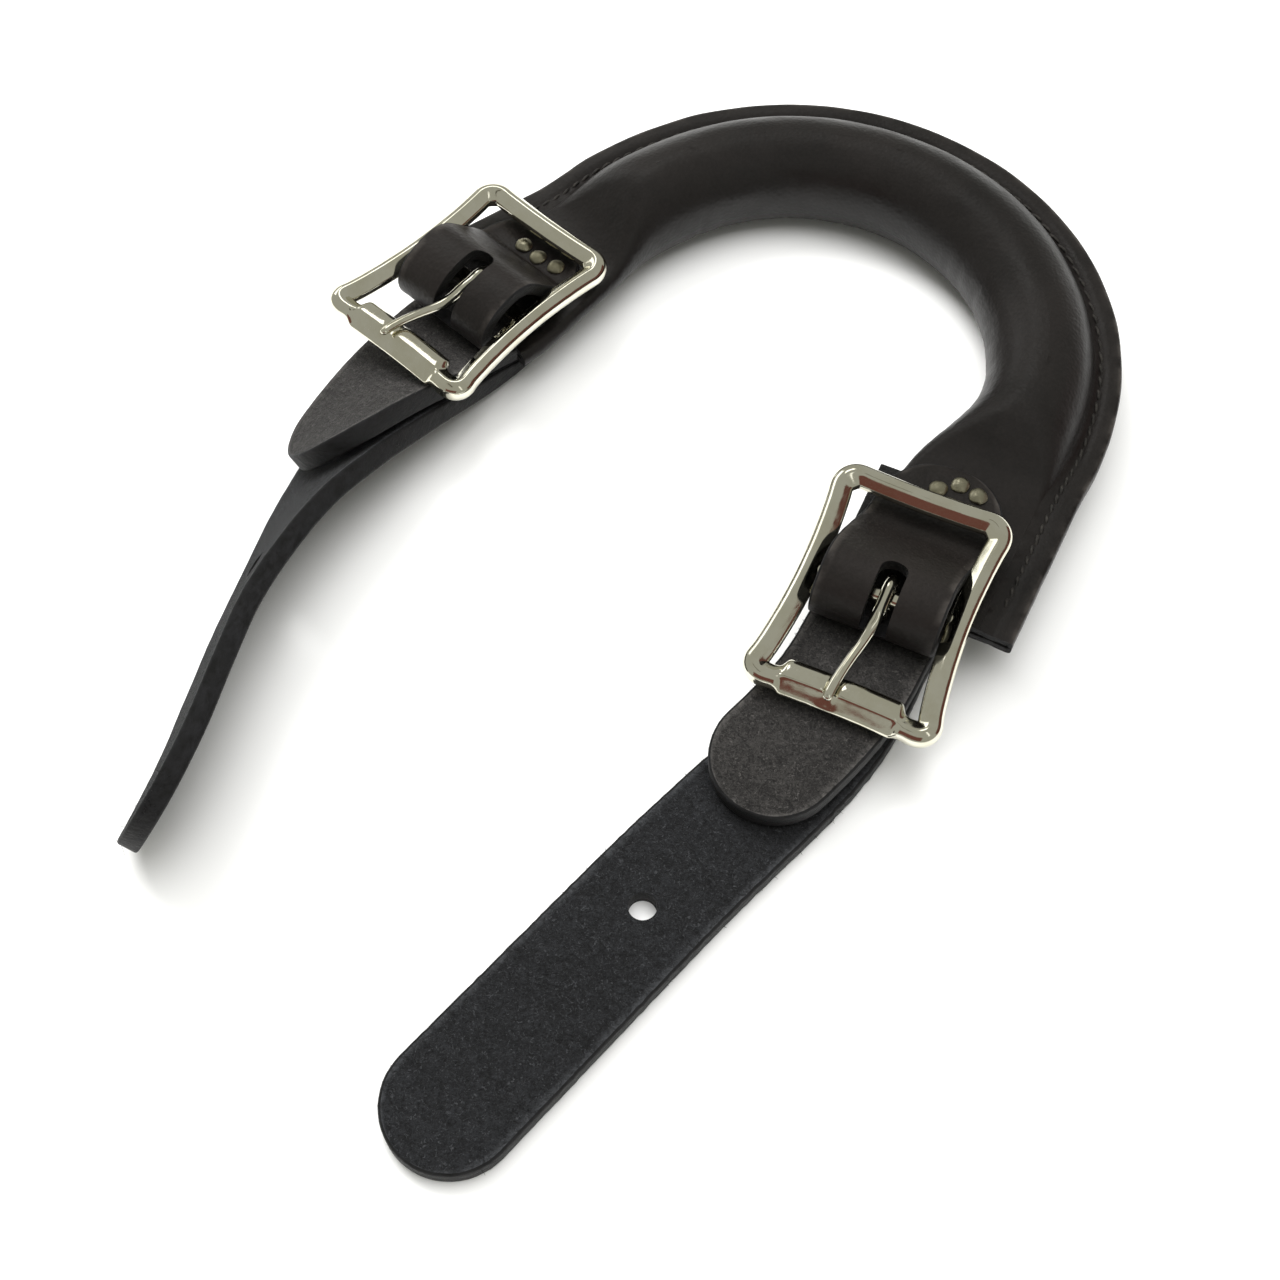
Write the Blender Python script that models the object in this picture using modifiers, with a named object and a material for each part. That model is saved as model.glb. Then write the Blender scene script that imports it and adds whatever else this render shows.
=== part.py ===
"""Buckle-on horse crupper dock, one object in separate pieces.

A stuffed leather roll bent into a U ends each side in a flat riveted stack that holds a buckle on a chape,
a short safe under the buckle and a long strap.  Metres, +Z up, resting on the plane z = 0.
The U opens towards -Y, and the origin is at the bottom centre of the whole object's box.
"""
import math

import bpy
import bmesh
from mathutils import Matrix, Vector

MM = 0.001
NAME = "crupper_dock"

# Driving dimensions, in millimetres
ORIGIN = Vector((-0.17, 105.28, 0.0))     # apex of the roll's centre line, from the object's origin
GAP = 0.3                               # clearance between touching pieces
STRAP_W = 25.4                          # one inch strap
STRAP_T = 4.2
COVER_T = 1.5                           # thin cover leather
ROLL_R = 11.2
U_RADIUS = 50.6
U_ARC_HALF = 66.5                       # centre line length from the apex to where the arm straightens
U_BLEND = 8.4
ARM_END = 117.5                         # centre line length from the apex to the cut end
FLANGE_W = 5.5
FLANGE_HALF_T = 1.9
FLANGE_Z = 12.6
FLAT_HALF_T = 1.9
CHAPE_T = 2.6
BAR_R = 1.8
TONGUE_R = 1.3
LOOP_IN_R = BAR_R + GAP + 2 * TONGUE_R + 0.4
LOOP_OUT_R = LOOP_IN_R + CHAPE_T
BUCKLE_W = 38.0
BUCKLE_L = 49.5
BUCKLE_FLARE = 0.035                    # share by which the near end is wider and the far end narrower
BAR_OFFSET = 1.0                        # centre bar, beyond the frame's middle
FRAME_W = 4.6
FRAME_H = 4.4
FRAME_LIFT = 0.8                        # frame's middle plane above the centre bar's axis
RIVET_R = 1.0
RIVET_HEAD_R = 1.95
HOLE_R = RIVET_R + GAP
STRAP_HOLE_R = 2.7
STRAP_LINK = 39.0                       # length of each hinged stretch of the long strap
STRAP_HOLE = 61.7                       # buckle hole, from the strap's tip
STRIP_STEP = 6.5
TAIL_T = 2.4                            # chape leather over the rivets
RETURN_T = 1.6                          # chape leather thinned under the dock's end
SLOT_W = 5.4
SLOT_BACK = 4.0                         # slot's end behind the bar, and its drop below the bar in front
SLOT_DROP = 2.0
CORE_END = 76.0
COVER_ROWS = 21
CORNER_R = 4.2
SIDE_HOLLOW = 1.3
END_HOLLOW = 0.5
BURR_R = 1.95
BURR_T = 0.5

# One entry for each end.  Heights are above the table; u runs across the buckle, v towards the roll.
SIDES = {
    "right": {
        "centre": (53.8, -92.2), "bar_z": 19.0, "yaw": 16.8, "pitch": 10.0,
        "tail": 17.6, "dock": 14.2, "return": 11.2, "landing": 17.0, "chape_end": 34.5,
        "flat": (68.5, 84.0), "flare": (18.6, 21.5), "flare_from": 59.0, "flare_mid": 90.0,
        "rivets": ((0.8, 27.7), (4.5, 30.3), (8.6, 29.2)), "rivet_span": (18.8, 5.4),
        "tongue_u": (0.5, -1.9), "loop_reach": 0.0, "notch": (-18.0, 14.0),
        "strap": ((33.5, 6.5, 2.2), (18.0, 6.2, 2.4), (0.0, 5.0, 3.4)),
        "run": ((55.0, -97.2, 4.2, 0), (57.8, -108.0, 3.1, 0), (59.0, -119.0, 2.3, 0),
                (58.8, -131.0, 2.12, 0), (58.0, -143.0, 2.12, 0), (57.2, -158.0, 2.12, 0),
                (56.7, -176.0, 2.12, 0), (56.3, -196.0, 2.12, 0), (55.9, -214.0, 2.12, 0), (55.6, -227.2, 2.12, 0)),
        "lift": (2.5, 2.7, 4.0, 5.4, 6.9, 7.1, 6.0, 4.9), "safe_shift": -2.0, "safe_length": 84.0,
    },
    "left": {
        "centre": (-57.8, -88.6), "bar_z": 19.0, "yaw": -0.8, "pitch": -2.0,
        "tail": 14.0, "dock": 10.6, "return": 7.6, "landing": 13.6, "chape_end": 25.7,
        "flat": (73.5, 90.0), "flare": (17.2, 22.5), "flare_from": 73.5, "flare_mid": 98.0,
        "rivets": ((2.0, 16.5), (6.8, 17.1), (-2.6, 16.9)), "rivet_span": (15.2, 1.9),
        "tongue_u": (0.6, -2.4), "loop_reach": 3.2, "notch": (-14.0, 14.0),
        "strap": ((25.7, 2.95, 2.1), (12.7, 2.95, 2.2), (0.7, 2.9, 3.0)),
        "run": ((-57.6, -96.0, 3.6, 4), (-56.4, -110.0, 5.6, 15), (-53.7, -125.0, 8.3, 30),
                (-51.2, -137.0, 10.2, 42), (-48.8, -148.0, 11.3, 51), (-44.6, -161.0, 12.08, 59),
                (-39.3, -175.0, 12.45, 64), (-33.2, -187.5, 12.5, 65), (-26.8, -200.0, 12.5, 65),
                (-21.8, -211.5, 12.5, 65), (-18.3, -221.0, 12.5, 65)),
        "lift": (2.45, 2.5, 4.0, 5.5, 5.7, 6.0, 6.0, 6.0), "safe_shift": 0.0, "safe_length": 81.7,
    },
}

LEATHER = (0.012, 0.011, 0.011)
FLESH = (0.035, 0.033, 0.032)
NICKEL = (0.62, 0.60, 0.52)


# ---------------------------------------------------------------- scene, materials and mesh helpers

def clear_scene():
    """Remove what the open file holds."""
    for obj in list(bpy.data.objects):
        bpy.data.objects.remove(obj, do_unlink=True)


def new_collection(name):
    """Return an empty collection linked to the scene."""
    collection = bpy.data.collections.new(name)
    bpy.context.scene.collection.children.link(collection)
    return collection


def material(name, colour, roughness, metallic=0.0):
    """Return a Principled material, made once for each name."""
    found = bpy.data.materials.get(name)
    if found:
        return found
    result = bpy.data.materials.new(name)
    result.use_nodes = True
    shader = result.node_tree.nodes["Principled BSDF"]
    shader.inputs["Base Color"].default_value = (*colour, 1.0)
    shader.inputs["Roughness"].default_value = roughness
    shader.inputs["Metallic"].default_value = metallic
    result.diffuse_color = (*colour, 1.0)
    return result


def to_world(point):
    """Turn millimetres from the roll's apex into world metres."""
    return (Vector(point) + ORIGIN) * MM


def add_object(name, mesh, mat, pivot=None, parts=True):
    """Link a mesh whose vertices are in world metres, with its origin at the pivot."""
    obj = bpy.data.objects.new(name, mesh)
    if pivot is not None:
        mesh.transform(Matrix.Translation(-pivot))
        obj.location = pivot
    if parts:
        mesh.materials.append(mat)
        PARTS.objects.link(obj)
    else:
        obj.hide_render = True
        obj.display_type = "WIRE"
        CUTTERS.objects.link(obj)
    return obj


def loft(name, rings, cap=True, loop=False):
    """Return a mesh through rings of points in apex millimetres, closed at its ends by faces or by a loop."""
    bm = bmesh.new()
    rows = [[bm.verts.new(to_world(p)) for p in ring] for ring in rings]
    count = len(rows[0])
    pairs = list(zip(rows, rows[1:]))
    if loop:
        pairs.append((rows[-1], rows[0]))
    for a, b in pairs:
        for i in range(count):
            j = (i + 1) % count
            bm.faces.new((a[i], a[j], b[j], b[i]))
    if cap and not loop:
        bm.faces.new(list(reversed(rows[0])))
        bm.faces.new(rows[-1])
    bmesh.ops.recalc_face_normals(bm, faces=bm.faces)
    mesh = bpy.data.meshes.new(name)
    bm.to_mesh(mesh)
    bm.free()
    return mesh


def shade_round(obj, angle=35.0):
    """Shade smooth, with edges kept sharp past an angle."""
    obj.data.shade_smooth()
    obj.data.set_sharp_from_angle(angle=math.radians(angle))


def cut(obj, cutter, operation="DIFFERENCE"):
    """Add an exact Boolean."""
    modifier = obj.modifiers.new(operation.lower(), "BOOLEAN")
    modifier.operation = operation
    modifier.solver = "EXACT"
    modifier.object = cutter


def smoothstep(x, low, high):
    """Return 0 below low, 1 above high and a smooth rise between."""
    t = min(max((x - low) / (high - low), 0.0), 1.0)
    return t * t * (3 - 2 * t)


def mix(a, b, t):
    """Return the value at t from a to b."""
    return a + (b - a) * t


def spline(points, step):
    """Return tuples about a step apart on a Catmull-Rom curve through the given tuples, which start with x, y, z."""
    ends = [[2 * a - b for a, b in zip(points[0], points[1])], [2 * a - b for a, b in zip(points[-1], points[-2])]]
    values = [ends[0], *points, ends[1]]
    result = []
    for p0, p1, p2, p3 in zip(values, values[1:], values[2:], values[3:]):
        count = max(1, round(math.dist(p1[:3], p2[:3]) / step))
        for i in range(count):
            t = i / count
            result.append(tuple(
                (2 * b + (c - a) * t + (2 * a - 5 * b + 4 * c - d) * t ** 2 + (3 * b - 3 * c + d - a) * t ** 3) / 2
                for a, b, c, d in zip(p0, p1, p2, p3)))
    result.append(tuple(points[-1]))
    return result


def lengths_along(line):
    """Return the length from the line's start to each of its points."""
    lengths = [0.0]
    for a, b in zip(line, line[1:]):
        lengths.append(lengths[-1] + math.dist(a[:3], b[:3]))
    return lengths


def sample(line, lengths, place):
    """Return the tuple at a length along the line, and the line's direction there."""
    i = max(j for j in range(len(line) - 1) if lengths[j] <= max(place, 0.0))
    t = min((place - lengths[i]) / (lengths[i + 1] - lengths[i]), 1.0)
    values = tuple(mix(a, b, t) for a, b in zip(line[i], line[i + 1]))
    behind, ahead = line[max(i - 1, 0)], line[min(i + 2, len(line) - 1)]
    return values, (Vector(ahead[:3]) - Vector(behind[:3])).normalized()


# ---------------------------------------------------------------- frames of the two ends

def end_point(side, u, v, z):
    """Return a point of the end's frame in apex millimetres."""
    yaw = math.radians(side["yaw"])
    x, y = side["centre"]
    return Vector((x + u * math.cos(yaw) - v * math.sin(yaw), y + u * math.sin(yaw) + v * math.cos(yaw), z))


def buckle_point(side, x, y, z):
    """Return a point of the rocked buckle, measured from the centre bar's axis."""
    pitch = math.radians(side["pitch"])
    along = y * math.cos(pitch) - z * math.sin(pitch)
    height = y * math.sin(pitch) + z * math.cos(pitch)
    return end_point(side, x, along, side["bar_z"] + height)


# ---------------------------------------------------------------- the stuffed roll

def centre_line():
    """Return (point, tangent) samples of one arm each half millimetre, from the apex to the cut end."""
    step = 0.5
    heading = 0.0
    point = Vector((0.0, 0.0, 0.0))
    samples = []
    for i in range(round(ARM_END / step) + 1):
        tangent = Vector((math.cos(heading), -math.sin(heading), 0.0))
        samples.append((point.copy(), tangent))
        point += tangent * step
        heading += step * 0.5 * (1 - math.tanh((i * step - U_ARC_HALF) / U_BLEND)) / U_RADIUS
    return samples


def arm_at(samples, length):
    """Return the point and outward normal at a signed length, negative on the left arm."""
    point, tangent = samples[min(round(abs(length) * 2), len(samples) - 1)]
    if length < 0:
        return Vector((-point.x, point.y, 0.0)), Vector((tangent.y, tangent.x, 0.0))
    return point.copy(), Vector((-tangent.y, tangent.x, 0.0))


def section(length):
    """Return the roll's half width, half height, centre offset and height, and its flange's height and edge."""
    side = SIDES["right" if length >= 0 else "left"]
    reach = abs(length)
    start, end = side["flat"]
    flat = smoothstep(reach, start, end)
    inner = mix(ROLL_R, side["flare"][0], smoothstep(reach, side["flare_from"], side["flare_mid"]))
    inner += (side["flare"][1] - side["flare"][0]) * smoothstep(reach, side["flare_mid"] - 6, ARM_END)
    root = mix(ROLL_R, ROLL_R - 0.7, flat)
    half_height = mix(ROLL_R, FLAT_HALF_T + 0.05, flat)
    height = mix(ROLL_R, side["dock"], flat)
    flange_height = mix(FLANGE_Z, side["dock"], flat)
    return (inner + root) / 2, half_height, (root - inner) / 2, height, flange_height, root + FLANGE_W


def cover_outline(length):
    """Return the cover's outer face across the arm, as (outward, height), from flange edge to flange edge."""
    half_w, half_h, offset, height, flange_z, edge = section(length)
    flat_run = half_w - half_h
    lift = flange_z - height
    top = math.asin(min((lift + FLANGE_HALF_T) / half_h, 0.97))
    low = math.asin(max((lift - FLANGE_HALF_T) / half_h, -0.97))

    def arc(centre, start, end, count, first=0):
        angles = [mix(start, end, i / count) for i in range(first, count + 1)]
        return [(offset + centre + half_h * math.cos(a), height + half_h * math.sin(a)) for a in angles]

    quarter = math.pi / 2
    crease = edge - FLANGE_W * 0.6
    points = [(edge, flange_z + FLANGE_HALF_T), (crease, flange_z + FLANGE_HALF_T)]
    points += arc(flat_run, top, quarter, 3)
    points += arc(-flat_run, quarter, 3 * quarter, 9, 0)
    points += arc(flat_run, -quarter, low, 3)
    points += [(crease, flange_z - FLANGE_HALF_T), (edge, flange_z - FLANGE_HALF_T)]
    return points


def build_cover(samples):
    """Make the folded cover, open along its flange and at both ends."""
    bm = bmesh.new()
    rows = []
    for i in range(-COVER_ROWS, COVER_ROWS + 1):
        length = i * ARM_END / COVER_ROWS
        point, outward = arm_at(samples, length)
        outer = cover_outline(length)
        inner = []
        for before, here, after in zip([outer[0], *outer], outer, [*outer[1:], outer[-1]]):
            da, dz = after[0] - before[0], after[1] - before[1]
            size = math.hypot(da, dz)
            inner.append((here[0] - dz / size * COVER_T, here[1] + da / size * COVER_T))
        ring = outer + inner[::-1]
        rows.append([bm.verts.new(to_world(point + outward * a + Vector((0, 0, z)))) for a, z in ring])
    count = len(rows[0])
    for a, b in zip(rows, rows[1:]):
        for i in range(count):
            j = (i + 1) % count
            bm.faces.new((a[i], a[j], b[j], b[i]))
    for ring in (rows[0], rows[-1]):
        for i in range(count // 2 - 1):
            bm.faces.new((ring[i], ring[i + 1], ring[-2 - i], ring[-1 - i]))
    bmesh.ops.recalc_face_normals(bm, faces=bm.faces)
    mesh = bpy.data.meshes.new("dock_cover")
    bm.to_mesh(mesh)
    bm.free()
    cover = add_object("dock_cover", mesh, material("black_leather", LEATHER, 0.45))
    shade_round(cover)
    return cover


def build_core(samples):
    """Make the rope stuffing, tapered where the arms flatten."""
    curve = bpy.data.curves.new("dock_core", "CURVE")
    curve.dimensions = "3D"
    curve.bevel_depth = MM
    curve.bevel_resolution = 2
    curve.use_fill_caps = True
    places = [i * CORE_END / 16 for i in range(-16, 17)]
    strand = curve.splines.new("POLY")
    strand.points.add(len(places) - 1)
    for control, length in zip(strand.points, places):
        point, outward = arm_at(samples, length)
        _, half_h, offset, height, _, _ = section(length)
        control.co = (*to_world(point + outward * offset + Vector((0, 0, height))), 1.0)
        control.radius = (half_h - COVER_T - 0.6) * (1 - 0.6 * smoothstep(abs(length), 62.0, CORE_END))
    core = bpy.data.objects.new("dock_core", curve)
    curve.materials.append(material("stuffing_rope", (0.42, 0.33, 0.2), 0.9))
    PARTS.objects.link(core)


# ---------------------------------------------------------------- flat leather pieces

def rounded_half_width(distance):
    """Return the half width of a strip this far from its rounded tip."""
    radius = STRAP_W / 2
    inset = max(radius - distance, 0.0)
    return max(math.sqrt(max(radius ** 2 - inset ** 2, 0.0)), 2.6)


def strip_frame(values, forward):
    """Return the point, across and normal directions and thickness of a strip's station."""
    x, y, z, roll, thick = values
    across = Vector((0, 0, 1)).cross(forward).normalized()
    turn = Matrix.Rotation(math.radians(roll), 3, forward)
    return Vector((x, y, z)), turn @ across, turn @ forward.cross(across), thick


def strip(name, line, start, end, mat, pivot=None):
    """Make the stretch of a strip between two lengths of its line; a stretch that ends the line has a round tip."""
    lengths = lengths_along(line)
    total = lengths[-1]
    tip = end > total - 0.01
    body_end = total - STRAP_W / 2 if tip else end
    count = math.ceil((body_end - start) / STRIP_STEP)
    places = [mix(start, body_end, i / count) for i in range(count + 1)]
    if tip:
        places += [total - STRAP_W / 2 * (1 - math.sin(math.pi / 2 * i / 6)) for i in range(1, 7)]
    rings = []
    for place in places:
        point, across, normal, thick = strip_frame(*sample(line, lengths, place))
        half = rounded_half_width(total - place) if tip else STRAP_W / 2
        rise = normal * (thick / 2)
        side = across * half
        rings.append([point - side + rise, point + side + rise, point + side - rise, point - side - rise])
    return add_object(name, loft(name, rings), mat, pivot)


def strip_lines(side):
    """Return the fine lines of a side's strap and of the safe over it, as (x, y, z, roll, thickness)."""
    controls = [(*end_point(side, 0.0, v, z), 0.0, thick) for v, z, thick in side["strap"]]
    controls += [(*values, STRAP_T) for values in side["run"]]
    lifts = [*side["lift"], *[side["lift"][-1]] * (len(controls) - len(side["lift"]))]
    line = spline([(*values, lift) for values, lift in zip(controls, lifts)], 2.0)
    lengths = lengths_along(line)
    safe = []
    for values, length in zip(line, lengths):
        if length <= side["safe_length"]:
            point, across, normal, _ = strip_frame(values[:5], sample(line, lengths, length)[1])
            drift = side["safe_shift"] * smoothstep(length, 35.0, side["safe_length"])
            safe.append((*(point + across * drift + normal * values[5]), *values[3:5]))
    return [values[:5] for values in line], safe


def build_strap(prefix, line, flesh):
    """Make the long strap as a riveted length and two hinged lengths, parted just before each hinge."""
    lengths = lengths_along(line)
    total = lengths[-1]
    first, second = total - 2 * STRAP_LINK, total - STRAP_LINK
    base = strip(prefix + "_strap_base", line, 0.0, first - GAP, flesh)
    pivots = []
    for place in (first, second):
        point, _, normal, thick = strip_frame(*sample(line, lengths, place))
        pivots.append(to_world(point + normal * (thick / 2)))
    middle = strip(prefix + "_strap_middle", line, first, second - GAP, flesh, pivots[0])
    strip(prefix + "_strap_tip", line, second, total, flesh, pivots[1])
    point, _, normal, _ = strip_frame(*sample(line, lengths, total - STRAP_HOLE))
    cut(middle, pin_cutter(prefix + "_strap_hole_cutter", point, normal, STRAP_HOLE_R, STRAP_T, middle))
    return base


def pin_cutter(name, centre, axis, radius, reach, target=None):
    """Return a round cutter along an axis, reaching this far each way."""
    bm = bmesh.new()
    bmesh.ops.create_cone(bm, cap_ends=True, segments=16, radius1=radius * MM, radius2=radius * MM,
                          depth=2 * reach * MM)
    turn = axis.to_track_quat("Z", "Y").to_matrix().to_4x4()
    bm.transform(Matrix.Translation(to_world(centre)) @ turn)
    mesh = bpy.data.meshes.new(name)
    bm.to_mesh(mesh)
    bm.free()
    return add_object(name, mesh, None, parts=False)


def chape_path(side):
    """Return (v, height, thickness) along the chape: its riveted tail, the loop round the bar, and its return."""
    middle_r = LOOP_IN_R + CHAPE_T / 2
    bar_z = side["bar_z"]
    land_v, land_z = side["landing"], side["tail"]
    reach = math.hypot(land_v, land_z - bar_z)
    leave = math.atan2(land_z - bar_z, land_v) + math.acos(middle_r / reach)
    path = [(side["chape_end"], land_z - 0.5, 1.2), (side["chape_end"] - 3.0, land_z, TAIL_T)]
    path += [(land_v + 3.0, land_z, TAIL_T), (land_v, land_z + 0.1, TAIL_T)]
    start_v, start_z = middle_r * math.cos(leave), bar_z + middle_r * math.sin(leave)
    path.append((mix(land_v, start_v, 0.15), mix(land_z, start_z, 0.15), TAIL_T))
    path.append((mix(land_v, start_v, 0.6), mix(land_z, start_z, 0.6), CHAPE_T))
    for i in range(17):
        angle = mix(leave, 1.5 * math.pi, i / 16)
        v = math.cos(angle) * (middle_r + (side["loop_reach"] if math.cos(angle) < 0 else 0.0))
        path.append((v, bar_z + middle_r * math.sin(angle), CHAPE_T))
    low = bar_z - middle_r
    path.append((5.0, mix(low, side["return"], 0.3), 2.2))
    path.append((11.0, side["return"], RETURN_T))
    path.append((side["chape_end"] - 1.0, side["return"], RETURN_T))
    return path


def build_chape(prefix, side, leather):
    """Make the chape: one strip of leather folded loosely round the centre bar, with a slot for the tongue."""
    path = chape_path(side)
    rings = []
    for i, (v, z, thick) in enumerate(path):
        before, after = path[max(i - 1, 0)], path[min(i + 1, len(path) - 1)]
        dv, dz = after[0] - before[0], after[1] - before[1]
        size = math.hypot(dv, dz)
        out_v, out_z = dz / size * thick / 2, -dv / size * thick / 2
        half = rounded_half_width(STRAP_W / 2 - 4.5) if i == 0 else STRAP_W / 2
        half = rounded_half_width(STRAP_W / 2 - 1.0) if i == 1 else half
        rings.append([end_point(side, -half, v + out_v, z + out_z), end_point(side, half, v + out_v, z + out_z),
                      end_point(side, half, v - out_v, z - out_z), end_point(side, -half, v - out_v, z - out_z)])
    chape = add_object(prefix + "_chape", loft(prefix + "_chape", rings), leather)
    shade_round(chape)
    slot_u = side["tongue_u"][0]
    low, high = side["bar_z"] - SLOT_DROP, side["bar_z"] + LOOP_OUT_R + 3.0
    corners = []
    for z in (low, high):
        front = -LOOP_OUT_R - side["loop_reach"] - 3.0
        ring = [(slot_u - SLOT_W / 2, SLOT_BACK), (slot_u + SLOT_W / 2, SLOT_BACK),
                (slot_u + SLOT_W / 2, front), (slot_u - SLOT_W / 2, front)]
        corners.append([end_point(side, u, v, z) for u, v in ring])
    cut(chape, add_object(prefix + "_slot_cutter", loft(prefix + "_slot_cutter", corners), None, parts=False))
    return chape


# ---------------------------------------------------------------- metal

def frame_outline():
    """Return the buckle's middle line: rounded corners joined by slightly hollow sides, wider at the near end."""
    half_w, half_l = (BUCKLE_W - FRAME_W) / 2, (BUCKLE_L - FRAME_W) / 2
    points = []
    for k, (sx, sy) in enumerate(((1, 1), (-1, 1), (-1, -1), (1, -1))):
        centre = (sx * (half_w - CORNER_R), sy * (half_l - CORNER_R))
        for i in range(5):
            angle = math.pi / 2 * (k + i / 4)
            points.append((centre[0] + CORNER_R * math.cos(angle), centre[1] + CORNER_R * math.sin(angle)))
        nx, ny = ((0, 1), (-1, 0), (0, -1), (1, 0))[k]
        run = (half_w if nx == 0 else half_l) - CORNER_R
        depth = SIDE_HOLLOW if ny == 0 else END_HOLLOW
        start = points[-1]
        step = (-ny * 2 * run, nx * 2 * run)
        for i in range(1, 6):
            sink = depth * math.sin(math.pi * i / 6)
            points.append((start[0] + step[0] * i / 6 - nx * sink, start[1] + step[1] * i / 6 - ny * sink))
    return [(x * (1 - BUCKLE_FLARE * y / half_l), y - BAR_OFFSET) for x, y in points]


def build_buckle(prefix, side, nickel, pivot):
    """Make the cast frame with its centre bar in one piece."""
    outline = frame_outline()
    rings = []
    for i, (x, y) in enumerate(outline):
        before, after = outline[i - 1], outline[(i + 1) % len(outline)]
        dx, dy = after[0] - before[0], after[1] - before[1]
        size = math.hypot(dx, dy)
        nx, ny = dy / size, -dx / size
        ring = []
        for k in range(8):
            angle = math.pi / 8 + math.pi * k / 4
            out, up = FRAME_W / 2 * 1.05 * math.cos(angle), FRAME_H / 2 * 1.05 * math.sin(angle)
            ring.append(buckle_point(side, x + nx * out, y + ny * out, FRAME_LIFT + up))
        rings.append(ring)
    frame = add_object(prefix + "_buckle_frame", loft(prefix + "_buckle_frame", rings, loop=True), nickel, pivot)
    shade_round(frame)
    reach = BUCKLE_W / 2 - FRAME_W / 2
    bar_rings = []
    for x in (-reach, reach):
        angles = [math.pi * k / 6 for k in range(12)]
        bar_rings.append([buckle_point(side, x, BAR_R * math.cos(a), BAR_R * math.sin(a)) for a in angles])
    bar = add_object(prefix + "_bar_tool", loft(prefix + "_bar_tool", bar_rings), None, pivot, parts=False)
    cut(frame, bar, "UNION")


def build_tongue(prefix, side, nickel, pivot):
    """Make the wire tongue: a hook round the centre bar, an S bend and a straight taper to the near bar."""
    hook_r = BAR_R + GAP + TONGUE_R
    path = []
    for i in range(13):
        angle = math.radians(mix(-165.0, 112.0, i / 12))
        path.append((hook_r * math.cos(angle), hook_r * math.sin(angle), TONGUE_R))
    path += [(-4.4, 3.0, TONGUE_R), (-6.8, 2.5, TONGUE_R), (-9.4, 2.3, TONGUE_R), (-12.4, 2.9, 1.25),
             (-16.5, 4.0, 1.15), (-20.6, 4.7, 1.05), (-23.8, 4.9, 0.9)]
    start_u, end_u = side["tongue_u"]
    curve = bpy.data.curves.new(prefix + "_tongue", "CURVE")
    curve.dimensions = "3D"
    curve.bevel_depth = MM
    curve.bevel_resolution = 2
    curve.use_fill_caps = True
    wire = curve.splines.new("POLY")
    wire.points.add(len(path) - 1)
    for control, (y, z, radius) in zip(wire.points, path):
        u = mix(start_u, end_u, smoothstep(-y, 4.0, 24.0))
        control.co = (*(to_world(buckle_point(side, u, y, z)) - pivot), 1.0)
        control.radius = radius
    tongue = bpy.data.objects.new(prefix + "_tongue", curve)
    tongue.location = pivot
    curve.materials.append(nickel)
    PARTS.objects.link(tongue)


def turned(name, profile, centre, mat):
    """Make a turned piece from a (radius, height) profile listed from top to bottom."""
    mesh = bpy.data.meshes.new(name)
    verts = [(radius * MM, 0.0, height * MM) for radius, height in profile]
    edges = [(i, i + 1) for i in range(len(verts) - 1)]
    if profile[0][0] > 0:
        edges.append((len(verts) - 1, 0))
    mesh.from_pydata(verts, edges, [])
    obj = bpy.data.objects.new(name, mesh)
    obj.location = to_world(centre)
    mesh.materials.append(mat)
    PARTS.objects.link(obj)
    screw = obj.modifiers.new("turn", "SCREW")
    screw.steps = 12
    screw.render_steps = 12
    screw.use_merge_vertices = True
    screw.merge_threshold = 0.00001
    screw.use_smooth_shade = False
    return obj


def build_rivets(prefix, side, nickel, layers):
    """Make each rivet with its burr, and its hole through every layer."""
    top, bottom = side["rivet_span"]
    for index, (u, v) in enumerate(side["rivets"], start=1):
        foot = bottom - GAP
        head = [(0.0, top + GAP + 0.8), (RIVET_HEAD_R * 0.6, top + GAP + 0.7), (RIVET_HEAD_R, top + GAP + 0.3),
                (RIVET_HEAD_R, top + GAP), (RIVET_R, top + GAP)]
        tail = [(RIVET_R, foot - BURR_T - GAP), (RIVET_R * 1.5, foot - BURR_T - GAP),
                (RIVET_R * 1.4, foot - BURR_T - GAP - 0.35), (0.0, foot - BURR_T - GAP - 0.5)]
        place = end_point(side, u, v, 0.0)
        turned(f"{prefix}_rivet_{index}", head + tail, place, nickel)
        washer = [(HOLE_R, foot), (BURR_R, foot), (BURR_R, foot - BURR_T), (HOLE_R, foot - BURR_T)]
        turned(f"{prefix}_burr_{index}", washer, place, nickel)
        cutter = pin_cutter(f"{prefix}_rivet_{index}_cutter", place + Vector((0, 0, (top + bottom) / 2)),
                            Vector((0, 0, 1)), HOLE_R, (top - bottom) / 2 + 2.0)
        for layer in layers:
            cut(layer, cutter)


def build_side(prefix, side, cover):
    """Make every piece at one end of the dock."""
    leather = material("black_leather", LEATHER, 0.45)
    flesh = material("flesh_side_leather", FLESH, 0.9)
    nickel = material("nickel_plate", NICKEL, 0.22, 1.0)
    pivot = to_world(buckle_point(side, 0.0, 0.0, 0.0))
    chape = build_chape(prefix, side, leather)
    strap_line, safe_line = strip_lines(side)
    safe = strip(prefix + "_safe", safe_line, 0.0, lengths_along(safe_line)[-1], flesh)
    base = build_strap(prefix, strap_line, flesh)
    build_buckle(prefix, side, nickel, pivot)
    build_tongue(prefix, side, nickel, pivot)
    build_rivets(prefix, side, nickel, (chape, cover, safe, base))
    low, high = side["dock"] - 4.0, side["dock"] + 4.0
    left, right = side["notch"]
    corners = [[end_point(side, u, v, z) for u, v in ((left, 12.0), (right, 12.0), (right, -24.0), (left, -24.0))]
               for z in (low, high)]
    cut(cover, add_object(prefix + "_notch_cutter", loft(prefix + "_notch_cutter", corners), None, parts=False))


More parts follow.
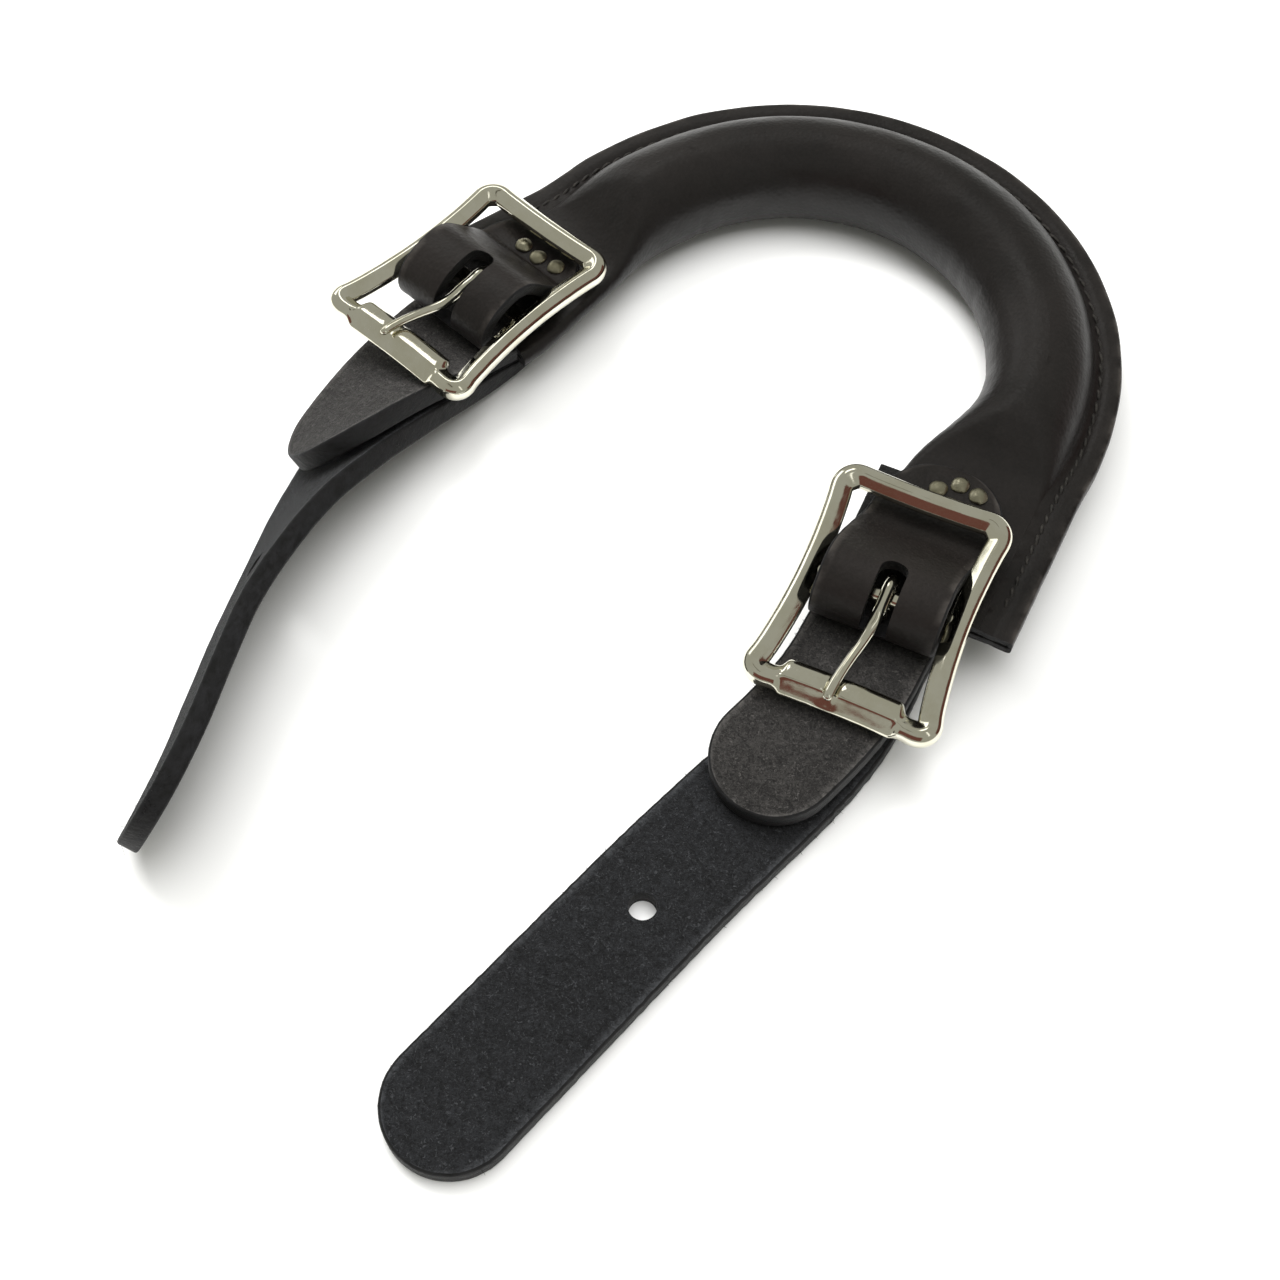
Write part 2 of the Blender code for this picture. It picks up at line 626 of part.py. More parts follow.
def main():
    """Build the whole object."""
    samples = centre_line()
    cover = build_cover(samples)
    build_core(samples)
    for prefix, side in SIDES.items():
        build_side(prefix, side, cover)


clear_scene()
PARTS = new_collection(NAME)
CUTTERS = new_collection("cutters")
main()
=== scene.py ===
"""Buckle-on horse crupper dock: detailed leather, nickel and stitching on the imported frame."""
import math
import random

import bpy
import bmesh
from mathutils import Matrix, Vector, noise


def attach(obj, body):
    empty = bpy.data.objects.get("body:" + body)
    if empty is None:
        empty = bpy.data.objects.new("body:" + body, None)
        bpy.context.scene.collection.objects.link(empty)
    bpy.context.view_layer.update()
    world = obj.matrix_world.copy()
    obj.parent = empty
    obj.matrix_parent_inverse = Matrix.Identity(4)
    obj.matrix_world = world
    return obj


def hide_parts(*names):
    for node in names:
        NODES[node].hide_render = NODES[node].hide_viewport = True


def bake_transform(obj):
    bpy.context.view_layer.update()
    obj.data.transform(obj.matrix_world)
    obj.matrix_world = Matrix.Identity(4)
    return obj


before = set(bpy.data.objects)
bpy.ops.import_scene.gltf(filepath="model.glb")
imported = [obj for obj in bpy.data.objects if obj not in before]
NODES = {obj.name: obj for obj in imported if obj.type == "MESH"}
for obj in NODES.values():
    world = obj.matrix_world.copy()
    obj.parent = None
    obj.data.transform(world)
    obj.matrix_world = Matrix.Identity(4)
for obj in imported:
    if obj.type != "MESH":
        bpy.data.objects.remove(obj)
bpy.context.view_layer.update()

MM = 0.001

# Dimensions shared with the solids, in millimetres
ORIGIN = Vector((-0.17, 105.28, 0.0))
STRAP_W = 25.4
STRAP_T = 4.2
ROLL_R = 11.2
U_RADIUS = 50.6
U_ARC_HALF = 66.5
U_BLEND = 8.4
ARM_END = 117.5
FLANGE_W = 5.5
FLANGE_HALF_T = 1.9
FLANGE_Z = 12.6
COVER_T = 1.5
CHAPE_T = 2.6
TAIL_T = 2.4
RETURN_T = 1.6
BAR_R = 1.8
TONGUE_R = 1.3
HOOK_GAP = 0.3
LOOP_GAP = 0.4
LOOP_IN_R = BAR_R + HOOK_GAP + 2 * TONGUE_R + LOOP_GAP
BUCKLE_W = 38.0
BUCKLE_L = 49.5
BUCKLE_FLARE = 0.035
BAR_OFFSET = 1.0
FRAME_W = 4.6
FRAME_LIFT = 0.8
STRAP_LINK = 39.0
STRAP_HOLE = 61.7
STRAP_HOLE_R = 2.7
SEAM = 52.0

# Detail that only the looks have, in millimetres
GROOVE_IN = 1.0
GROOVE_DEPTH = 0.55
COVER_STEPS = 200
SMOOTHING_PASSES = 14
STITCH_PITCH = 3.1
STITCH_R = 0.36
SLOT_HALF_W = 2.7
SLOT_BACK = 4.2
FRAME_CORNER_R = 3.4
SIDE_WAIST = 1.5
END_WAIST = 0.4
FACET_HALF_W = 11.0
REST_DEPTH = 0.75
REST_HALF_W = 1.25

# The photo's camera: where it stands and looks, in millimetres, and its focal length in the photo's pixels
CAMERA_AT = (137.7, -257.6, 320.75)
CAMERA_AIM = (18.06, -122.2, 0.0)
FOCAL_PX = 1838.7
PHOTO_PX = 1280.0
SENSOR_W = 36.0

# The two ends: buckle place and tilt, layer heights, the dock's flat and flare, rivets as (u, v), the chape,
# the strap's layers as (v, z, thickness) and its run as (x, y, z, roll)
SIDES = {
    "right": {
        "centre": (53.8, -92.2), "bar_z": 19.0, "yaw": 16.8, "pitch": 10.0,
        "tail": 17.6, "dock": 14.2, "return": 11.2, "landing": 17.0, "chape_end": 34.5,
        "flat": (68.5, 84.0), "flare": (18.6, 21.5), "flare_from": 59.0, "flare_mid": 90.0,
        "rivets": ((0.8, 27.7), (4.5, 30.3), (8.6, 29.2)), "rivet_top": 18.8,
        "rivet_foot": 5.4, "tail_shift": 3.0, "frayed": ((-1, 5, 1.2), (1, 4, 1.2)),
        "tongue_u": (0.5, -1.9), "loop_reach": 0.0, "notch": (-18.0, 14.0),
        "strap": ((33.5, 6.5, 2.2), (18.0, 6.2, 2.4), (0.0, 5.0, 3.4)),
        "run": ((55.0, -97.2, 4.2, 0), (57.8, -108.0, 3.1, 0), (59.0, -119.0, 2.3, 0),
                (58.8, -131.0, 2.12, 0), (58.0, -143.0, 2.12, 0), (57.2, -158.0, 2.12, 0),
                (56.7, -176.0, 2.12, 0), (56.3, -196.0, 2.12, 0), (55.9, -214.0, 2.12, 0),
                (55.6, -227.2, 2.12, 0)),
        "lift": (2.5, 2.7, 4.0, 5.4, 6.9, 7.1, 6.0, 4.9), "safe_shift": -2.0, "safe_length": 84.0,
    },
    "left": {
        "centre": (-57.8, -88.6), "bar_z": 19.0, "yaw": -0.8, "pitch": -2.0,
        "tail": 14.0, "dock": 10.6, "return": 7.6, "landing": 13.6, "chape_end": 25.7,
        "flat": (73.5, 90.0), "flare": (17.2, 22.5), "flare_from": 73.5, "flare_mid": 98.0,
        "rivets": ((2.0, 16.5), (6.8, 17.1), (-2.6, 16.9)), "rivet_top": 15.2,
        "rivet_foot": 1.9, "tail_shift": 0.0, "frayed": ((-1, 26, 3.2), (1, 20, 2.4)),
        "tongue_u": (0.6, -2.4), "loop_reach": 3.2, "notch": (-14.0, 14.0),
        "strap": ((25.7, 2.95, 2.1), (12.7, 2.95, 2.2), (0.7, 2.9, 3.0)),
        "run": ((-57.6, -96.0, 3.6, 4), (-56.4, -110.0, 5.6, 15), (-53.7, -125.0, 8.3, 30),
                (-51.2, -137.0, 10.2, 42), (-48.8, -148.0, 11.3, 51), (-44.6, -161.0, 12.08, 59),
                (-39.3, -175.0, 12.45, 64), (-33.2, -187.5, 12.5, 65), (-26.8, -200.0, 12.5, 65),
                (-21.8, -211.5, 12.5, 65), (-18.3, -221.0, 12.5, 65)),
        "lift": (2.45, 2.5, 4.0, 5.5, 5.7, 6.0, 6.0, 6.0), "safe_shift": 0.0, "safe_length": 81.7,
    },
}


# ---------------------------------------------------------------- small helpers

def to_world(point):
    """Turn millimetres from the roll's apex into world metres."""
    return (Vector(point) + ORIGIN) * MM


def smoothstep(x, low, high):
    t = min(max((x - low) / (high - low), 0.0), 1.0)
    return t * t * (3 - 2 * t)


def mix(a, b, t):
    return a + (b - a) * t


def spline(points, step):
    """Return tuples about a step apart on a Catmull-Rom curve through tuples that start with x, y, z."""
    ends = [[2 * a - b for a, b in zip(near, next_in)]
            for near, next_in in ((points[0], points[1]), (points[-1], points[-2]))]
    values = [ends[0], *points, ends[1]]
    result = []
    for p0, p1, p2, p3 in zip(values, values[1:], values[2:], values[3:]):
        count = max(1, round(math.dist(p1[:3], p2[:3]) / step))
        for i in range(count):
            t = i / count
            result.append(tuple(
                (2 * b + (c - a) * t + (2 * a - 5 * b + 4 * c - d) * t ** 2 + (3 * b - 3 * c + d - a) * t ** 3) / 2
                for a, b, c, d in zip(p0, p1, p2, p3)))
    result.append(tuple(points[-1]))
    return result


def lengths_along(line):
    lengths = [0.0]
    for a, b in zip(line, line[1:]):
        lengths.append(lengths[-1] + math.dist(a[:3], b[:3]))
    return lengths


def sample(line, lengths, place):
    """Return the tuple at a length along the line, and the line's direction there."""
    low, high = 0, len(line) - 2
    while low < high:
        middle = (low + high + 1) // 2
        if lengths[middle] <= place:
            low = middle
        else:
            high = middle - 1
    i = low
    t = min(max((place - lengths[i]) / (lengths[i + 1] - lengths[i]), 0.0), 1.0)
    values = tuple(mix(a, b, t) for a, b in zip(line[i], line[i + 1]))

    def direction(k):
        return (Vector(line[min(k + 1, len(line) - 1)][:3]) - Vector(line[max(k - 1, 0)][:3])).normalized()

    return values, direction(i).lerp(direction(i + 1), t).normalized()


def end_point(side, u, v, z):
    """Return a point of the end's frame in apex millimetres."""
    yaw = math.radians(side["yaw"])
    x, y = side["centre"]
    return Vector((x + u * math.cos(yaw) - v * math.sin(yaw), y + u * math.sin(yaw) + v * math.cos(yaw), z))


def buckle_point(side, x, y, z):
    """Return a point of the rocked buckle, measured from the centre bar's axis."""
    pitch = math.radians(side["pitch"])
    along = y * math.cos(pitch) - z * math.sin(pitch)
    height = y * math.sin(pitch) + z * math.cos(pitch)
    return end_point(side, x, along, side["bar_z"] + height)


def new_object(name, bm, materials, body=None, replaced=(), sharp=None):
    """Link a finished bmesh in metres as a piece."""
    mesh = bpy.data.meshes.new(name)
    bm.to_mesh(mesh)
    bm.free()
    obj = bpy.data.objects.new(name, mesh)
    bpy.context.scene.collection.objects.link(obj)
    for mat in materials:
        mesh.materials.append(mat)
    mesh.shade_smooth()
    if sharp:
        mesh.set_sharp_from_angle(angle=math.radians(sharp))
    if body:
        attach(obj, body)
    if replaced:
        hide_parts(*replaced)
    return obj


def cut(obj, cutter):
    """Cut one closed mesh out of another for good."""
    modifier = obj.modifiers.new("cut", "BOOLEAN")
    modifier.operation = "DIFFERENCE"
    modifier.solver = "EXACT"
    modifier.object = cutter
    bpy.context.view_layer.update()
    shown = obj.evaluated_get(bpy.context.evaluated_depsgraph_get())
    mesh = bpy.data.meshes.new_from_object(shown)
    obj.modifiers.clear()
    old = obj.data
    obj.data = mesh
    bpy.data.meshes.remove(old)
    bpy.data.objects.remove(cutter)


def bridge(bm, a, b):
    """Join two closed rings of vertices and return the faces in order."""
    count = len(a)
    return [bm.faces.new((a[k], a[(k + 1) % count], b[(k + 1) % count], b[k])) for k in range(count)]


def repaint(node, material):
    """Give a solid that stays in view its material."""
    NODES[node].data.materials.clear()
    NODES[node].data.materials.append(material)


def prism(name, outline, low, high):
    """Return a cutter from an outline of (u, v) points in an end's frame."""
    bm = bmesh.new()
    bottom = [bm.verts.new(to_world(low(u, v))) for u, v in outline]
    top = [bm.verts.new(to_world(high(u, v))) for u, v in outline]
    bridge(bm, bottom, top)
    bm.faces.new(bottom[::-1])
    bm.faces.new(top)
    bmesh.ops.recalc_face_normals(bm, faces=bm.faces)
    return new_object(name, bm, [])


# ---------------------------------------------------------------- materials

class Nodes:
    """A short way to build one material's node tree."""

    def __init__(self, name):
        self.material = bpy.data.materials.new(name)
        self.material.use_nodes = True
        self.tree = self.material.node_tree
        self.shader = self.tree.nodes["Principled BSDF"]
        self.place = self.add("ShaderNodeTexCoord").outputs["Object"]

    def add(self, kind, **settings):
        node = self.tree.nodes.new(kind)
        for key, value in settings.items():
            setattr(node, key, value)
        return node

    def link(self, a, b):
        self.tree.links.new(a, b)

    def noise(self, scale, detail=3.0, rough=0.5, distortion=0.0, stretch=None):
        node = self.add("ShaderNodeTexNoise")
        node.inputs["Scale"].default_value = scale
        node.inputs["Detail"].default_value = detail
        node.inputs["Roughness"].default_value = rough
        node.inputs["Distortion"].default_value = distortion
        if stretch:
            mapping = self.add("ShaderNodeMapping")
            mapping.inputs["Scale"].default_value = stretch
            self.link(self.place, mapping.inputs["Vector"])
            self.link(mapping.outputs["Vector"], node.inputs["Vector"])
        else:
            self.link(self.place, node.inputs["Vector"])
        return node.outputs["Fac"]

    def voronoi(self, scale):
        node = self.add("ShaderNodeTexVoronoi")
        node.inputs["Scale"].default_value = scale
        self.link(self.place, node.inputs["Vector"])
        return node.outputs["Distance"]

    def span(self, value, low, high, to_low, to_high):
        node = self.add("ShaderNodeMapRange")
        for key, number in (("From Min", low), ("From Max", high), ("To Min", to_low), ("To Max", to_high)):
            node.inputs[key].default_value = number
        self.link(value, node.inputs["Value"])
        return node.outputs["Result"]

    def math(self, operation, a, b):
        node = self.add("ShaderNodeMath", operation=operation)
        for socket, value in zip(node.inputs, (a, b)):
            if isinstance(value, (int, float)):
                socket.default_value = value
            else:
                self.link(value, socket)
        return node.outputs["Value"]

    def total(self, *terms):
        """Add up sockets, each times its weight."""
        result, *parts = [self.math("MULTIPLY", value, weight) for value, weight in terms]
        for part in parts:
            result = self.math("ADD", result, part)
        return result

    def colours(self, value, stops):
        node = self.add("ShaderNodeValToRGB")
        ramp = node.color_ramp
        while len(ramp.elements) < len(stops):
            ramp.elements.new(0.5)
        for element, (position, colour) in zip(ramp.elements, stops):
            element.position = position
            element.color = (*colour, 1.0)
        self.link(value, node.inputs["Fac"])
        return node.outputs["Color"]

    def blend(self, factor, a, b):
        node = self.add("ShaderNodeMix", data_type="RGBA")
        self.link(factor, node.inputs["Factor"])
        for socket, value in ((node.inputs[6], a), (node.inputs[7], b)):
            if isinstance(value, tuple):
                socket.default_value = (*value, 1.0)
            else:
                self.link(value, socket)
        return node.outputs[2]

    def attribute(self, name):
        return self.add("ShaderNodeAttribute", attribute_name=name).outputs["Fac"]

    def bump(self, height, distance, strength=1.0):
        node = self.add("ShaderNodeBump")
        node.inputs["Distance"].default_value = distance
        node.inputs["Strength"].default_value = strength
        self.link(height, node.inputs["Height"])
        self.link(node.outputs["Normal"], self.shader.inputs["Normal"])

    def colour(self, value):
        self.link(value, self.shader.inputs["Base Color"])

    def roughness(self, value):
        self.link(value, self.shader.inputs["Roughness"])


def grain_leather(name, dark, light, rough, grain=1.0):
    """Dyed grain side: fine pores, slow colour drift and worn edges."""
    n = Nodes(name)
    slow = n.noise(38.0, 4.0, 0.6)
    fine = n.noise(1500.0, 3.0, 0.6)
    cells = n.voronoi(1150.0)
    base = n.colours(n.total((slow, 0.7), (fine, 0.3)), ((0.35, dark), (0.62, light)))
    wear = n.math("MULTIPLY", n.attribute("lip"), n.span(n.noise(220.0, 3.0), 0.4, 0.62, 0.0, 0.5))
    n.colour(n.blend(wear, base, (0.07, 0.062, 0.056)))
    n.roughness(n.span(n.noise(75.0, 5.0, 0.65), 0.3, 0.7, rough - 0.06, rough + 0.1))
    creases = n.noise(260.0, 4.0, 0.55, 0.6)
    n.bump(n.total((cells, 0.5), (fine, 0.35), (creases, 0.9)), 0.00016 * grain, 0.55)
    n.shader.inputs["Specular IOR Level"].default_value = 0.3
    return n.material


def nap_leather(name, dark, light, speck):
    """Flesh side: short matted fibres, speckles and a pale lip along the cut edge."""
    n = Nodes(name)
    hair = n.noise(1250.0, 6.0, 0.7, 2.2)
    tufts = n.noise(620.0, 5.0, 0.65, 1.4)
    slow = n.noise(55.0, 3.0, 0.5)
    total = n.total((hair, 0.5), (tufts, 0.4), (slow, 0.1))
    between = tuple(mix(a, b, 0.4) for a, b in zip(dark, light))
    base = n.colours(total, ((0.42, dark), (0.5, between), (0.57, light)))
    flecks = n.span(n.noise(1500.0, 3.0, 0.65, 1.5), 0.58, 0.68, 0.0, 0.7)
    base = n.blend(flecks, base, speck)
    lip = n.math("MULTIPLY", n.attribute("lip"), n.span(tufts, 0.38, 0.6, 0.2, 0.75))
    n.colour(n.blend(lip, base, speck))
    n.roughness(n.span(slow, 0.3, 0.7, 0.86, 1.0))
    n.bump(total, 0.0016, 0.9)
    n.shader.inputs["Specular IOR Level"].default_value = 0.15
    n.shader.inputs["Sheen Weight"].default_value = 0.05
    n.shader.inputs["Sheen Roughness"].default_value = 0.6
    return n.material


def edge_leather(name, dark, light):
    """Cut and dyed edge: fibres laid along the strap, half burnished."""
    n = Nodes(name)
    fibres = n.noise(420.0, 5.0, 0.65, 0.4, (1.0, 1.0, 3.2))
    pores = n.noise(1500.0, 3.0, 0.6)
    n.colour(n.colours(fibres, ((0.36, dark), (0.64, light))))
    n.roughness(n.span(fibres, 0.3, 0.7, 0.5, 0.8))
    n.bump(n.math("ADD", fibres, n.math("MULTIPLY", pores, 0.4)), 0.00035, 0.7)
    n.shader.inputs["Specular IOR Level"].default_value = 0.35
    return n.material


def nickel(name, colour, rough, dents=1.0):
    """Polished nickel plate over a slightly uneven casting."""
    n = Nodes(name)
    slow = n.noise(70.0, 3.0, 0.5)
    hairline = n.noise(900.0, 4.0, 0.7, 0.2, (1.0, 0.12, 1.0))
    tarnish = n.noise(150.0, 5.0, 0.6)
    dull = tuple(c * f for c, f in zip(colour, (0.8, 0.78, 0.68)))
    n.colour(n.blend(n.span(tarnish, 0.42, 0.7, 0.0, 0.5), colour, dull))
    n.roughness(n.span(n.total((hairline, 0.5), (tarnish, 0.5)), 0.35, 0.7, rough * 0.6, rough * 1.9))
    n.bump(n.math("ADD", slow, n.math("MULTIPLY", hairline, 0.03)), 0.00035 * dents, 0.5)
    n.shader.inputs["Metallic"].default_value = 1.0
    return n.material


def thread(name):
    n = Nodes(name)
    twist = n.noise(900.0, 3.0, 0.6, 0.5)
    n.colour(n.colours(twist, ((0.35, (0.006, 0.0055, 0.005)), (0.7, (0.03, 0.027, 0.024)))))
    n.roughness(n.span(twist, 0.3, 0.7, 0.45, 0.7))
    n.bump(twist, 0.0002, 0.8)
    return n.material


def rope(name):
    n = Nodes(name)
    fibre = n.noise(500.0, 6.0, 0.7, 1.0)
    n.colour(n.colours(fibre, ((0.3, (0.22, 0.15, 0.07)), (0.7, (0.55, 0.44, 0.28)))))
    n.roughness(n.span(fibre, 0.3, 0.7, 0.8, 1.0))
    n.bump(fibre, 0.0015, 0.9)
    return n.material


ROLL_LEATHER = grain_leather("roll_leather", (0.0042, 0.0036, 0.0034), (0.0095, 0.008, 0.0075), 0.4)
CHAPE_LEATHER = grain_leather("chape_leather", (0.0045, 0.0038, 0.0035), (0.012, 0.0098, 0.009), 0.44, 1.3)
UNDER_LEATHER = grain_leather("strap_grain_side", (0.004, 0.0038, 0.0038), (0.009, 0.0085, 0.0083), 0.4)
STRAP_NAP = nap_leather("strap_nap", (0.0035, 0.0036, 0.0042), (0.019, 0.02, 0.0225), (0.07, 0.073, 0.079))
SAFE_NAP = nap_leather("safe_nap", (0.0105, 0.0098, 0.0095), (0.046, 0.043, 0.041), (0.115, 0.108, 0.103))
INNER_NAP = nap_leather("inner_nap", (0.004, 0.004, 0.004), (0.012, 0.0115, 0.011), (0.03, 0.03, 0.03))
EDGE = edge_leather("cut_edge", (0.003, 0.003, 0.0032), (0.011, 0.011, 0.012))
NICKEL = nickel("nickel", (0.74, 0.72, 0.61), 0.09, 1.6)
RIVET_NICKEL = nickel("rivet_nickel", (0.36, 0.34, 0.25), 0.4, 3.0)
THREAD = thread("waxed_thread")
ROPE = rope("rope")


# ---------------------------------------------------------------- the stuffed roll

def centre_line():
    step = 0.25
    heading = 0.0
    point = Vector((0.0, 0.0, 0.0))
    samples = []
    for i in range(round(ARM_END / step) + 1):
        tangent = Vector((math.cos(heading), -math.sin(heading), 0.0))
        samples.append((point.copy(), tangent))
        point += tangent * step
        heading += step * 0.5 * (1 - math.tanh((i * step - U_ARC_HALF) / U_BLEND)) / U_RADIUS
    return samples


ARM = centre_line()


def arm_at(length):
    """Return the point and outward normal at a signed length, negative on the left arm."""
    point, tangent = ARM[min(round(abs(length) * 4), len(ARM) - 1)]
    if length < 0:
        return Vector((-point.x, point.y, 0.0)), Vector((tangent.y, tangent.x, 0.0))
    return point.copy(), Vector((-tangent.y, tangent.x, 0.0))


def section(length):
    """Return half width, half height, centre offset and height, flange height and edge, and share flattened."""
    side = SIDES["right" if length >= 0 else "left"]
    reach = abs(length)
    start, end = side["flat"]
    flat = smoothstep(reach, start, end)
    inner = mix(ROLL_R, side["flare"][0], smoothstep(reach, side["flare_from"], side["flare_mid"]))
    inner += (side["flare"][1] - side["flare"][0]) * smoothstep(reach, side["flare_mid"] - 6, ARM_END)
    root = mix(ROLL_R, ROLL_R - 0.7, flat)
    half_height = mix(ROLL_R, FLANGE_HALF_T + 0.05, flat)
    height = mix(ROLL_R, side["dock"], flat)
    flange_height = mix(FLANGE_Z, side["dock"], flat)
    return (inner + root) / 2, half_height, (root - inner) / 2, height, flange_height, root + FLANGE_W, flat


def cover_ring(length):
    """Return the cover's outer face as (outward, height, lip), from flange edge to flange edge."""
    half_w, half_h, offset, height, flange_z, edge, flat = section(length)
    run = half_w - half_h
    lift = flange_z - height
    top = math.asin(min((lift + FLANGE_HALF_T) / half_h, 0.97))
    low = math.asin(max((lift - FLANGE_HALF_T) / half_h, -0.97))
    sink = GROOVE_DEPTH * (1 - 0.5 * flat)
    groove = edge - FLANGE_W + GROOVE_IN

    def arc(centre, start, end, count):
        return [(offset + centre + half_h * math.cos(mix(start, end, i / count)),
                 height + half_h * math.sin(mix(start, end, i / count)), 0.0) for i in range(count + 1)]

    top_z, low_z = flange_z + FLANGE_HALF_T, flange_z - FLANGE_HALF_T
    points = [(edge - 0.05, flange_z + 0.12, 0.2), (edge + 0.02, flange_z + 0.9, 0.4),
              (edge - 0.12, top_z - 0.42, 1.0), (edge - 0.5, top_z - 0.1, 1.0), (edge - 1.1, top_z, 0.2),
              (edge - 2.4, top_z + 0.03, 0.0),
              (groove + 1.05, top_z - 0.05, 0.0), (groove + 0.55, top_z - sink * 0.55, 0.0),
              (groove, top_z - sink, 0.0), (groove - 0.55, top_z - sink * 0.45, 0.0)]
    points += arc(run, top + 0.06, math.pi / 2, 15)
    points += arc(-run, math.pi / 2, 3 * math.pi / 2, 44)
    points += arc(run, -math.pi / 2, low - 0.06, 15)
    points += [(groove - 0.55, low_z + sink * 0.45, 0.0), (groove, low_z + sink, 0.0),
               (groove + 0.55, low_z + sink * 0.55, 0.0), (groove + 1.05, low_z + 0.05, 0.0),
               (edge - 2.4, low_z - 0.03, 0.0), (edge - 1.1, low_z, 0.2), (edge - 0.5, low_z + 0.1, 1.0),
               (edge - 0.12, low_z + 0.42, 1.0), (edge + 0.02, flange_z - 0.9, 0.4),
               (edge - 0.05, flange_z - 0.12, 0.2)]
    return points


def surface_drift(length, k, count):
    """Return how far the leather stands off its even shape: slow lumps, and creases inside the U."""
    place = Vector((length * 0.045, k * 0.09, 3.7))
    lumps = noise.noise(place) * 0.22 + noise.noise(place * 2.7) * 0.08
    turn = k / count
    inside = smoothstep(turn, 0.36, 0.5) * (1 - smoothstep(turn, 0.62, 0.74))
    reach = abs(length)
    squeeze = 1 - smoothstep(reach, 60.0, 80.0)
    crease = noise.noise(Vector((length * 0.42, turn * 3.0, 9.1)))
    crease = -max(crease, 0.0) ** 1.5 * 0.55
    return lumps + crease * inside * squeeze


def build_cover():
    """The folded cover: its section morphs gently from roll to flat end, and stays open along the flange."""
    lengths = [mix(-ARM_END, ARM_END, i / COVER_STEPS) for i in range(COVER_STEPS + 1)]
    outlines = [cover_ring(length) for length in lengths]
    count = len(outlines[0])
    for _ in range(SMOOTHING_PASSES):
        rows = [outlines[0]]
        for before, here, after in zip(outlines, outlines[1:], outlines[2:]):
            rows.append([((p[0] + 2 * q[0] + r[0]) / 4, (p[1] + 2 * q[1] + r[1]) / 4, q[2])
                         for p, q, r in zip(before, here, after)])
        outlines = [*rows, outlines[-1]]
    bm = bmesh.new()
    lip = bm.verts.layers.float.new("lip")
    rings = []
    for length, outer in zip(lengths, outlines):
        point, outward = arm_at(length)
        *_, flange_z, _, flat = section(length)
        row, inner = [], []
        for k, (a, z, edge) in enumerate(outer):
            before, after = outer[max(k - 1, 0)], outer[min(k + 1, count - 1)]
            da, dz = after[0] - before[0], after[1] - before[1]
            size = math.hypot(da, dz) or 1.0
            out_a, out_z = dz / size, -da / size
            if 10 < k < count - 11:
                drift = surface_drift(length, k, count) * (1 - 0.75 * flat)
            else:
                drift = noise.noise(Vector((length * 0.16, a * 0.3, z * 0.3))) * 0.12
            row.append((a + out_a * drift, z + out_z * drift, edge))
            in_z = z + out_z * (drift - COVER_T)
            if k <= 9:
                in_z = max(in_z, flange_z + 0.06)
            if k >= count - 10:
                in_z = min(in_z, flange_z - 0.06)
            inner.append((a + out_a * (drift - COVER_T), in_z, 0.0))
        inner[0] = (row[0][0] - 0.4, row[0][1] - 0.04, 0.0)
        inner[-1] = (row[-1][0] - 0.4, row[-1][1] + 0.04, 0.0)
        ring = []
        for a, z, edge in row + inner[::-1]:
            vert = bm.verts.new(to_world(point + outward * a + Vector((0, 0, max(z, 0.02)))))
            vert[lip] = edge
            ring.append(vert)
        rings.append(ring)
    for a, b in zip(rings, rings[1:]):
        for i, face in enumerate(bridge(bm, a, b)):
            face.material_index = 1 if i >= count else 0
    for ring in (rings[0], rings[-1]):
        for i in range(count - 1):
            face = bm.faces.new((ring[i], ring[i + 1], ring[-2 - i], ring[-1 - i]))
            face.material_index = 2
    bmesh.ops.recalc_face_normals(bm, faces=bm.faces)
    cover = new_object("dock_leather", bm, [ROLL_LEATHER, INNER_NAP, EDGE])
    for side in SIDES.values():
        left, right = side["notch"]
        outline = ((left, 12.0), (right, 12.0), (right, -24.0), (left, -24.0))
        low, high = side["dock"] - 4.0, side["dock"] + 4.0
        cutter = prism("notch", outline, lambda u, v: end_point(side, u, v, low),
                       lambda u, v: end_point(side, u, v, high))
        cutter.data.materials.append(EDGE)
        cut(cover, cutter)
    cover.data.set_sharp_from_angle(angle=math.radians(50))
    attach(cover, "dock")
    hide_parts("dock_cover")


